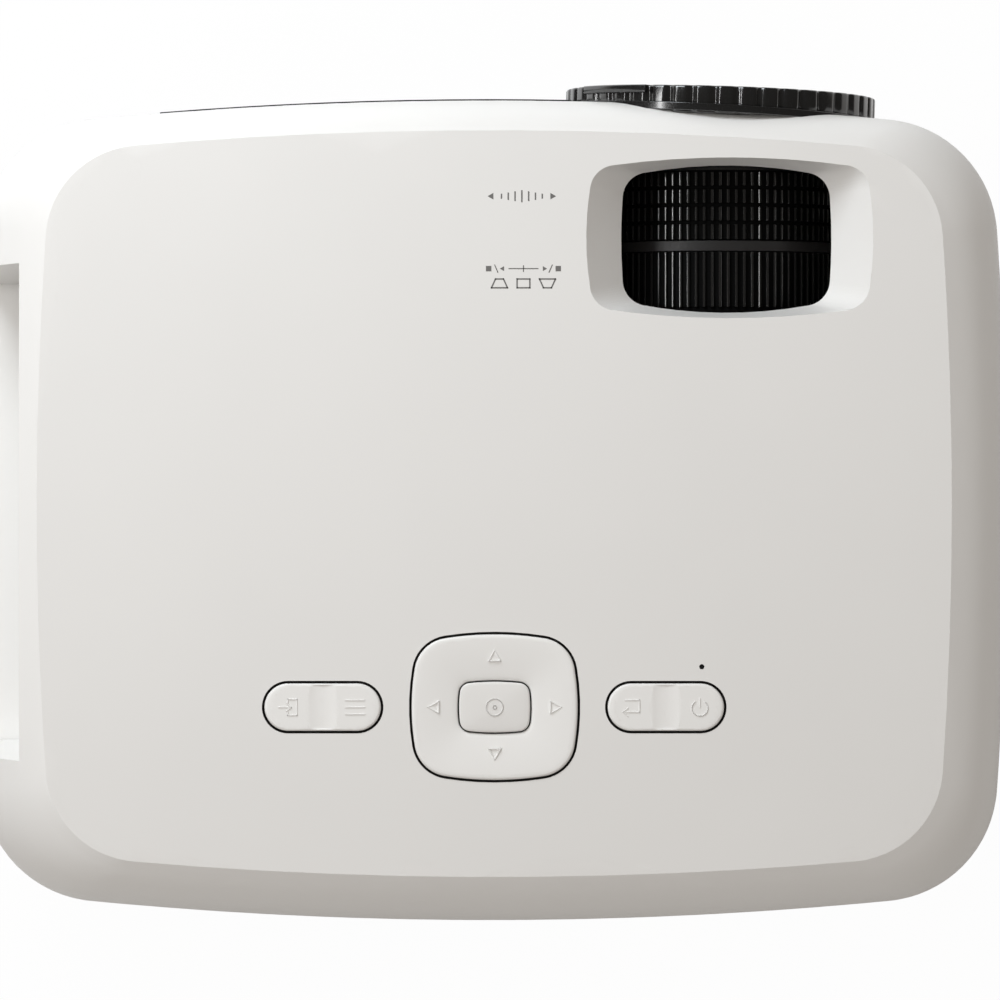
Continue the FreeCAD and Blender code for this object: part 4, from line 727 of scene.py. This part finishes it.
class PROJECTOR_OT_rings(bpy.types.Operator):
    """Make the focus ring's rows of ribs and the keystone ring's long ribs"""
    bl_idname = "projector.rings"
    bl_label = "Lens rings"

    wall = 2.9 * MM
    root = 0.3 * MM

    def execute(self, context):
        self.focus_ring()
        self.keystone_ring()
        return {"FINISHED"}

    def focus_ring(self):
        given = sizes()
        low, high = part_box("focus_ring")
        axis, radius = middle("focus_ring"), (high.x - low.x) / 2
        core, inner, plain = radius - 0.9 * MM, radius - self.wall, radius - 0.35 * MM
        last_row = high.y - given.row_count * given.row_pitch
        bm = bmesh.new()
        band(bm, about_y, axis, [(inner, high.y), (core, high.y), (core, last_row),
                                 (plain, last_row), (plain, low.y + 1 * MM),
                                 (radius - 1.35 * MM, low.y), (inner, low.y)])
        for row in range(given.row_count):
            rear = high.y - row * given.row_pitch - (given.row_gap / 2 if row else 0.1 * MM)
            front = high.y - (row + 1) * given.row_pitch + given.row_gap / 2
            rib_row(bm, about_y, axis, radius, core - self.root, front, rear, given.rib_count,
                    given.rib_depth, 0.12 * MM)
        piece = stand_in("focus_ring_ribs", bm, "lens_black", "focus_ring")
        shade_gaps(piece, axis, radius, given.rib_depth)

    def keystone_ring(self):
        given = sizes()
        low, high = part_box("keystone_ring")
        axis, radius = middle("keystone_ring"), (high.x - low.x) / 2
        core, inner, lip, edge = radius - 0.8 * MM, radius - self.wall, 1.5 * MM, 0.2 * MM
        bm = bmesh.new()
        band(bm, about_y, axis, [(inner, low.y), (core, low.y), (core, high.y - edge),
                                 (core - edge, high.y), (inner, high.y)])
        rib_row(bm, about_y, axis, radius, core - self.root, low.y, high.y - lip, given.rib_count,
                given.rib_depth, 0.15 * MM)
        piece = stand_in("keystone_ring_ribs", bm, "lens_black", "keystone_ring")
        shade_gaps(piece, axis, radius, given.rib_depth)


class PROJECTOR_OT_keys(bpy.types.Operator):
    """Make the dished direction key, the crowned centre key and the two pill keys"""
    bl_idname = "projector.keys"
    bl_label = "Keys"

    flange = 1.1 * MM
    flange_height = 0.6 * MM
    tall = 4.6 * MM
    # Below this depth under a key's top, the key gets the dark skirt look: painted shade.
    shown = 2.2 * MM
    points = 216

    def execute(self, context):
        self.direction_key()
        self.centre_key()
        self.pill_key("source_menu_key", self.source_and_menu)
        self.pill_key("return_power_key", self.return_and_power)
        self.status_light()
        return {"FINISHED"}

    def skirt(self, centre, reach, floor, edge, top):
        """The flange under the case, the key's wall and its rounded upper edge."""
        def grown(extra):
            return lambda angle: reach(angle) + extra
        steps = [(self.flange, floor), (self.flange, floor + self.flange_height),
                 (0, floor + self.flange_height), (0, top - edge)]
        for turn in (30, 60, 90):
            steps.append((edge * (math.cos(math.radians(turn)) - 1),
                          top - edge * (1 - math.sin(math.radians(turn)))))
        return [key_loop(centre, grown(extra), level) for extra, level in steps]

    def moulded_signs(self, centre, level):
        """Marks with sloping sides that stand up from a key and reach a little into it."""
        return Marks(Vector((centre.x, centre.y, level)), sizes().relief, 0.3 * MM, 0.3)

    def build(self, node, slot, places, shade_level, closed=False):
        """The key; its skirt and flange under the case get a dark look, painted shade for the gap
        round the key.
        """
        bm = bmesh.new()
        loft_loops(bm, places, self.points, closed)
        piece = stand_in(node + "_top", bm, slot, node, sharp=50)
        second_look(piece, "key_skirt", lambda spot: spot.z < shade_level)

    def direction_key(self):
        given = sizes()
        centre, whole, hole = middle("direction_key"), extent("direction_key"), extent("ok_key")
        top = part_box("direction_key")[1].z
        floor, spare = top - self.tall, 2 * self.flange
        outer = bulged((whole.x - spare) / 2, (whole.y - spare) / 2, corner=9 * MM,
                       side_bow=60 * MM, face_bow=80 * MM)
        gap = 0.32 * MM - self.flange
        inner = bulged(hole.x / 2 + gap, hole.y / 2 + gap, corner=3.1 * MM, side_bow=30 * MM,
                       face_bow=60 * MM)

        def dished(part):
            """The level of the dish, part of the way from the hole to the outer rim."""
            return top - given.pad_dish * (1 - part) ** 1.5
        places = self.skirt(centre, outer, floor, given.key_round, top)
        rim = shrunk(outer, 1 - given.key_round / (whole.x / 2))
        for part in (0.92, 0.8, 0.65, 0.5, 0.35, 0.2, 0.1):
            places.append(key_loop(centre, between(inner, rim, part), dished(part)))
        low = top - given.pad_dish
        for extra, level in ((0.35, low - 0.05 * MM), (0.1, low - 0.2 * MM), (0, low - 0.5 * MM),
                             (0, floor)):
            places.append(key_loop(centre, lambda angle, extra=extra: inner(angle) + extra * MM,
                                   level))
        self.build("direction_key", "key_white", places, top - self.shown, closed=True)
        for label, spot, turn in (("up", (0, 12.6), 90), ("down", (0, -11.4), 270),
                                  ("left", (-15, 0), 180), ("right", (15, 0), 0)):
            marks = self.moulded_signs(centre, dished(0.62))
            corners = [around(spot, 1.75, turn + side) for side in (0, 125, 235, 0)]
            marks.path(corners, given.relief_width / MM)
            marks.done("direction_mark_" + label, "key_white", "direction_key")

    def centre_key(self):
        centre, whole, top = middle("ok_key"), extent("ok_key"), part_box("ok_key")[1].z
        reach = bulged(whole.x / 2 - self.flange, whole.y / 2 - self.flange, corner=2.6 * MM,
                       side_bow=30 * MM, face_bow=60 * MM)
        # shown is the depth below the top where the centre key's painted shade begins.
        crown, edge, tall, shown = 0.35 * MM, 0.5 * MM, 6.1 * MM, 3 * MM
        places = self.skirt(centre, reach, top - tall, edge, top - crown)
        rim = shrunk(reach, 1 - edge / (whole.y / 2))
        for part in (0.85, 0.65, 0.45, 0.25, 0.1):
            places.append(key_loop(centre, shrunk(rim, part), top - crown * part ** 2))
        self.build("ok_key", "key_grey", places, top - shown)
        marks = self.moulded_signs(centre, top - 0.03 * MM)
        for radius, steps in ((2.1, 32), (0.45, 12)):
            marks.arc((0, 0), radius, 0, 360, 0.5, steps)
        marks.done("ok_key_mark", "key_grey", "ok_key")

    def pill_key(self, node, draw):
        given = sizes()
        centre, whole, top = middle(node), extent(node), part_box(node)[1].z
        half_deep, flat = whole.y / 2 - self.flange, top - 0.12 * MM
        reach = rounded_bar(whole.x / 2 - self.flange, half_deep)

        def height(across, along):
            dip_half = 3.5 * MM - 0.5 * MM * (along / half_deep) ** 2
            return flat - given.pill_dip * max(0, 1 - (across / dip_half) ** 2)
        places = self.skirt(centre, reach, top - self.tall, given.key_round, flat)
        places[-1] = key_loop(centre, lambda angle: reach(angle) - given.key_round, height)
        rim = shrunk(reach, 1 - given.key_round / (whole.y / 2))
        for step in range(24, 0, -1):
            places.append(key_loop(centre, shrunk(rim, step / 25), height))
        self.build(node, "key_white", places, top - self.shown)
        marks = self.moulded_signs(centre, flat)
        draw(marks, given.relief_width / MM)
        marks.done(node + "_marks", "key_white", node)

    def source_and_menu(self, marks, width):
        """An arrow into a frame on the left, and three lines on the right."""
        marks.path([(-8.7, 1.2), (-8.7, 2), (-6.4, 2), (-6.4, -2), (-8.7, -2), (-8.7, -1.2)],
                   width)
        marks.bar((-11, 0), (-7.8, 0), width)
        marks.path([(-9, 0.95), (-7.8, 0), (-9, -0.95)], width)
        for up in (-1.75, 0, 1.75):
            marks.bar((5.7, up), (10.5, up), width)

    def return_and_power(self, marks, width):
        """An arrow that turns back on the left, and a switch sign on the right."""
        marks.path([(-10.2, 1.8), (-6.6, 1.8), (-6.6, -1.2), (-10.6, -1.2)], width)
        marks.path([(-9.5, -0.2), (-10.7, -1.2), (-9.5, -2.2)], width)
        marks.arc((8.5, -0.2), 2, 125, 415, width, 24)
        marks.bar((8.5, 0), (8.5, 2.2), width)

    def status_light(self):
        spot, top = middle("status_light_pipe"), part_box("top_shell")[1].z
        bm = bmesh.new()
        prism(bm, 0.55 * MM, 0.5 * MM, 32)
        bmesh.ops.translate(bm, vec=(spot.x, spot.y, top - 0.45 * MM), verts=bm.verts)
        soften(add_piece("status_light_lens", bm, "clear_acrylic", "housing", "pinhole_black"),
               0.1 * MM)


class PROJECTOR_OT_marks(bpy.types.Operator):
    """Print the plain marks beside the lens rings"""
    bl_idname = "projector.marks"
    bl_label = "Printed marks"

    def execute(self, context):
        given = sizes()
        window, level = middle("focus_ring"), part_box("top_shell")[1].z
        for name, draw, right, back in (("focus_scale", self.focus_scale, 51, 2.1),
                                        ("level_signs", self.level_signs, 50.6, 20.2),
                                        ("slant_signs", self.slant_signs, 50.6, 23.9)):
            centre = Vector((window.x + right * MM, window.y + back * MM, level))
            marks = Marks(centre, given.print_height)
            draw(marks, given.line_width / MM)
            marks.done(name, "panel_black", "housing", "print_grey")
        return {"FINISHED"}

    def focus_scale(self, marks, line):
        """Seven ticks between two arrowheads, the middle one the longest."""
        for step in range(-3, 4):
            tall = 1.35 - 0.3 * abs(step)
            marks.bar((step * 1.7, -tall), (step * 1.7, tall), line)
        marks.solid((-7.6, 0), 0.95, 3, 180)
        marks.solid((7.6, 0), 0.95, 3, 0)

    def level_signs(self, marks, line):
        """A square, a slant, an arrowhead and a line with a tick, the same way on each side."""
        thin = line * 0.7
        marks.bar((-3.6, 0), (3.6, 0), thin)
        marks.bar((0, -0.7), (0, 0.7), thin)
        for side in (-1, 1):
            marks.solid((side * 5.2, 0), 0.7, 3, 90 - side * 90)
            marks.bar((side * 6.4, -0.9), (side * 7.2, 0.9), thin)
            marks.solid((side * 8.7, 0), 0.95, 4, 45)

    def slant_signs(self, marks, line):
        """A picture narrow at the top, a square one and one narrow at the foot."""
        for across, upper, lower in ((-6, 1, 2), (0, 1.6, 1.6), (6, 2, 1)):
            corners = [(across - lower, -1.1), (across - upper, 1.1), (across + upper, 1.1),
                       (across + lower, -1.1), (across - lower, -1.1)]
            marks.path(corners, line)


class PROJECTOR_OT_drive(bpy.types.Operator):
    """Finish the disc tray, its bezel and the parts that show when it is out"""
    bl_idname = "projector.drive"
    bl_label = "Disc drive"

    def execute(self, context):
        given = sizes()
        for node in ("tray_bezel", "eject_button", "disc_tray", "disc_hub", "pickup_sled"):
            refine(node, given.case_edge if node == "tray_bezel" else given.fine_edge)
        for node in ("drive_case", "tray_rails", "mechanism_plate"):
            refine(node, 0.08 * MM, 1)
        self.bezel_details()
        self.tray_details()
        return {"FINISHED"}

    def bezel_details(self):
        front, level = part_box("tray_bezel")[1].x, middle("tray_bezel").z
        spot = (front - 0.425 * MM, middle("disc_hub").y + 26 * MM, level)
        bm = bmesh.new()
        bmesh.ops.create_cube(bm, size=1)
        bmesh.ops.scale(bm, vec=Vector((0.95, 3.2, 1.2)) * MM, verts=bm.verts)
        bmesh.ops.translate(bm, vec=spot, verts=bm.verts)
        soften(add_piece("tray_light", bm, "clear_acrylic", "disc_tray", "indicator_green"),
               0.1 * MM)

    def tray_details(self):
        """A raised step for small discs and a rubber ring on the hub."""
        axis = middle("disc_hub")
        floor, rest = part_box("disc_tray")[1].z - 1.4 * MM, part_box("disc_hub")[1].z - 2.72 * MM
        bm = bmesh.new()
        self.raised_ring(bm, floor, ((41.2, -0.2), (41.2, 0.35), (41, 0.5), (40.3, 0.5),
                                     (40.1, 0.35), (40.1, -0.2)), 180)
        self.open_above_sled(bm, axis)
        add_piece("tray_small_disc_step", bm, "panel_black", "disc_tray")
        bm = bmesh.new()
        self.raised_ring(bm, rest, ((13.4, -0.3), (13.4, 0.12), (13, 0.25), (10.2, 0.25),
                                    (9.8, 0.12), (9.8, -0.3)), 96)
        add_piece("hub_ring", bm, "key_silicone", "disc_hub", "black_rubber")

    def raised_ring(self, bm, level, profile, points):
        """A ring about the hub from radii, and heights above a level, in millimetres."""
        band(bm, about_z, middle("disc_hub"),
             [(across * MM, level + up * MM) for across, up in profile], points)

    def open_above_sled(self, bm, axis):
        """Leave the step open where the slot for the pick-up crosses it."""
        half_slot = 7.3 * MM
        toward = Vector((-1, -1, 0)).normalized()
        across = Vector((-toward.y, toward.x, 0))

        def over_slot(spot):
            return spot.dot(toward) > 0 and abs(spot.dot(across)) < half_slot
        doomed = [face for face in bm.faces if over_slot(face.calc_center_median() - axis)]
        bmesh.ops.delete(bm, geom=doomed, context="FACES")
        bmesh.ops.holes_fill(bm, edges=[edge for edge in bm.edges if edge.is_boundary])


class PROJECTOR_OT_rear(bpy.types.Operator):
    """Round the edges of the sockets and the power inlet"""
    bl_idname = "projector.rear"
    bl_label = "Rear sockets"

    def execute(self, context):
        refine("signal_sockets", 0.1 * MM, 1)
        refine("power_inlet", sizes().fine_edge)
        return {"FINISHED"}


class PROJECTOR_OT_underside(bpy.types.Operator):
    """Finish the rubber feet, the height foot and the tripod insert"""
    bl_idname = "projector.underside"
    bl_label = "Underside"

    def execute(self, context):
        refine("rubber_feet", 0.6 * MM, 3)
        refine("tripod_insert", 0.25 * MM)
        self.height_foot()
        return {"FINISHED"}

    def height_foot(self):
        """The foot's ribbed wheel, with its plain stem above."""
        low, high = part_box("height_foot")
        axis, radius, ribs = middle("height_foot"), (high.x - low.x) / 2, sizes().foot_ribs
        wheel_top, stem, lead, chamfer = low.z + 4.4 * MM, 4.1 * MM, 0.6 * MM, 0.3 * MM
        places = [ribbed(about_z, axis, radius - trim, 0.6 * MM, ribs, level)
                  for trim, level in ((lead, low.z), (0, low.z + lead), (0, wheel_top - chamfer),
                                      (chamfer, wheel_top))]
        places += [about_z(axis, stem, wheel_top), about_z(axis, stem, high.z - 0.4 * MM),
                   about_z(axis, stem - 0.4 * MM, high.z)]
        bm = bmesh.new()
        loft_loops(bm, places, ribs * RIB_POINTS, closed=False)
        stand_in("height_foot_wheel", bm, "black_rubber", "height_foot")


class PROJECTOR_OT_inside(bpy.types.Operator):
    """Finish what shows through the slots and the open tray"""
    bl_idname = "projector.inside"
    bl_label = "Inside"

    def execute(self, context):
        for node in ("exhaust_fan_frame", "exhaust_fan_rotor", "lamp_fan_frame", "lamp_fan_rotor"):
            refine(node, 0.1 * MM, 1)
        for node in ("main_board", "power_board"):
            self.populated_board(node)
        return {"FINISHED"}

    def populated_board(self, node):
        """Green board below, dark parts above it."""
        board_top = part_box(node)[0].z + 1.7 * MM
        second_look(refine(node, 0.1 * MM, 1), "chip_black", lambda spot: spot.z > board_top)


class PROJECTOR_OT_stage(bpy.types.Operator):
    """Set the pale floor, the soft lights and the camera"""
    bl_idname = "projector.stage"
    bl_label = "Stage"

    def execute(self, context):
        self.floor()
        self.lights()
        self.camera()
        context.scene.view_settings.view_transform = "Standard"
        return {"FINISHED"}

    def floor(self):
        bm = bmesh.new()
        bmesh.ops.create_grid(bm, x_segments=2, y_segments=2, size=6)
        mesh = bpy.data.meshes.new("floor")
        bm.to_mesh(mesh)
        bm.free()
        floor = bpy.data.objects.new("floor", mesh)
        bpy.context.scene.collection.objects.link(floor)
        material = bpy.data.materials.new("pale_floor")
        material.use_nodes = True
        tree = material.node_tree
        shader = tree.nodes["Principled BSDF"]
        shader.inputs["Roughness"].default_value = 0.9
        shader.inputs["Base Color"].default_value = (0.86, 0.86, 0.86, 1)
        seen = add_node(tree, "ShaderNodeLightPath").outputs["Is Camera Ray"]
        glow = add_node(tree, "ShaderNodeEmission")
        share_seen = add_node(tree, "ShaderNodeMath", seen, 0.97, operation="MULTIPLY")
        mix = add_node(tree, "ShaderNodeMixShader", share_seen.outputs[0], shader.outputs[0],
                       glow.outputs[0])
        tree.links.new(mix.outputs[0], tree.nodes["Material Output"].inputs["Surface"])
        mesh.materials.append(material)

    def lights(self):
        """A soft dome that mirrors only faintly, a low soft box and a strip for the highlights."""
        world = bpy.context.scene.world or bpy.data.worlds.new("soft_light")
        bpy.context.scene.world = world
        world.use_nodes = True
        tree = world.node_tree
        sky = tree.nodes["Background"]
        sky.inputs["Color"].default_value = (1, 0.94, 0.875, 1)
        seen = add_node(tree, "ShaderNodeLightPath").outputs
        strength = add_node(tree, "ShaderNodeMapRange", Value=seen["Is Camera Ray"],
                            To_Min=0.37, To_Max=1)
        mirrored = add_node(tree, "ShaderNodeMapRange", Value=seen["Is Glossy Ray"],
                            To_Min=1, To_Max=0.2)
        total = add_node(tree, "ShaderNodeMath", strength.outputs[0], mirrored.outputs[0],
                         operation="MULTIPLY")
        tree.links.new(total.outputs[0], sky.inputs["Strength"])
        upper = self.soft_box("upper_light", Vector((0, 0, 1.2)), 0.8, 0.8, 2.4)
        upper.visible_glossy = False
        upper.data.color = (1, 0.955, 0.92)
        side = self.soft_box("side_light", Vector((0.27, -0.5, 0.41)), 0.3, 0.3, 2.75)
        side.data.color = (0.9, 0.955, 1)
        self.soft_box("strip_light", Vector((0.61, -0.1, 0.71)), 0.7, 0.05, 1.5)

    def soft_box(self, name, place, size, size_across, power):
        light = bpy.data.lights.new(name, "AREA")
        light.shape, light.size, light.size_y = "RECTANGLE", size, size_across
        light.energy = power
        lamp = bpy.data.objects.new(name, light)
        lamp.location = place
        lamp.rotation_euler = (-place).to_track_quat("-Z", "Y").to_euler()
        bpy.context.scene.collection.objects.link(lamp)
        return lamp

    def camera(self):
        eye = bpy.data.cameras.new("camera")
        eye.sensor_width, eye.lens = 36, 244.8
        camera = bpy.data.objects.new("camera", eye)
        camera.location = Vector((-2.54, 0.04, 1804)) * MM
        camera.rotation_euler = (0, 0, math.pi)
        bpy.context.scene.collection.objects.link(camera)
        bpy.context.scene.camera = camera


class PROJECTOR_PT_panel(bpy.types.Panel):
    """The projector's sizes, finishes and steps"""
    bl_idname = "PROJECTOR_PT_panel"
    bl_label = "Projector"
    bl_space_type = "VIEW_3D"
    bl_region_type = "UI"
    bl_category = "Projector"

    def draw(self, context):
        for group in (context.scene.projector_sizes, context.scene.projector_finish):
            box = self.layout.box()
            for name in group.bl_rna.properties.keys():
                if name not in ("rna_type", "name"):
                    box.prop(group, name)
        for step in STEPS:
            self.layout.operator(step.bl_idname)


STEPS = [PROJECTOR_OT_materials, PROJECTOR_OT_case, PROJECTOR_OT_lens, PROJECTOR_OT_rings,
         PROJECTOR_OT_keys, PROJECTOR_OT_marks, PROJECTOR_OT_drive, PROJECTOR_OT_rear,
         PROJECTOR_OT_underside, PROJECTOR_OT_inside, PROJECTOR_OT_stage]
CLASSES = [ProjectorSizes, ProjectorFinish, *STEPS, PROJECTOR_PT_panel]


def register():
    for item in CLASSES:
        bpy.utils.register_class(item)
    bpy.types.Scene.projector_sizes = PointerProperty(type=ProjectorSizes)
    bpy.types.Scene.projector_finish = PointerProperty(type=ProjectorFinish)


def unregister():
    del bpy.types.Scene.projector_finish
    del bpy.types.Scene.projector_sizes
    for item in reversed(CLASSES):
        bpy.utils.unregister_class(item)


def main():
    register()
    for step in STEPS:
        group, name = step.bl_idname.split(".")
        getattr(getattr(bpy.ops, group), name)()


if __name__ == "__main__":
    main()
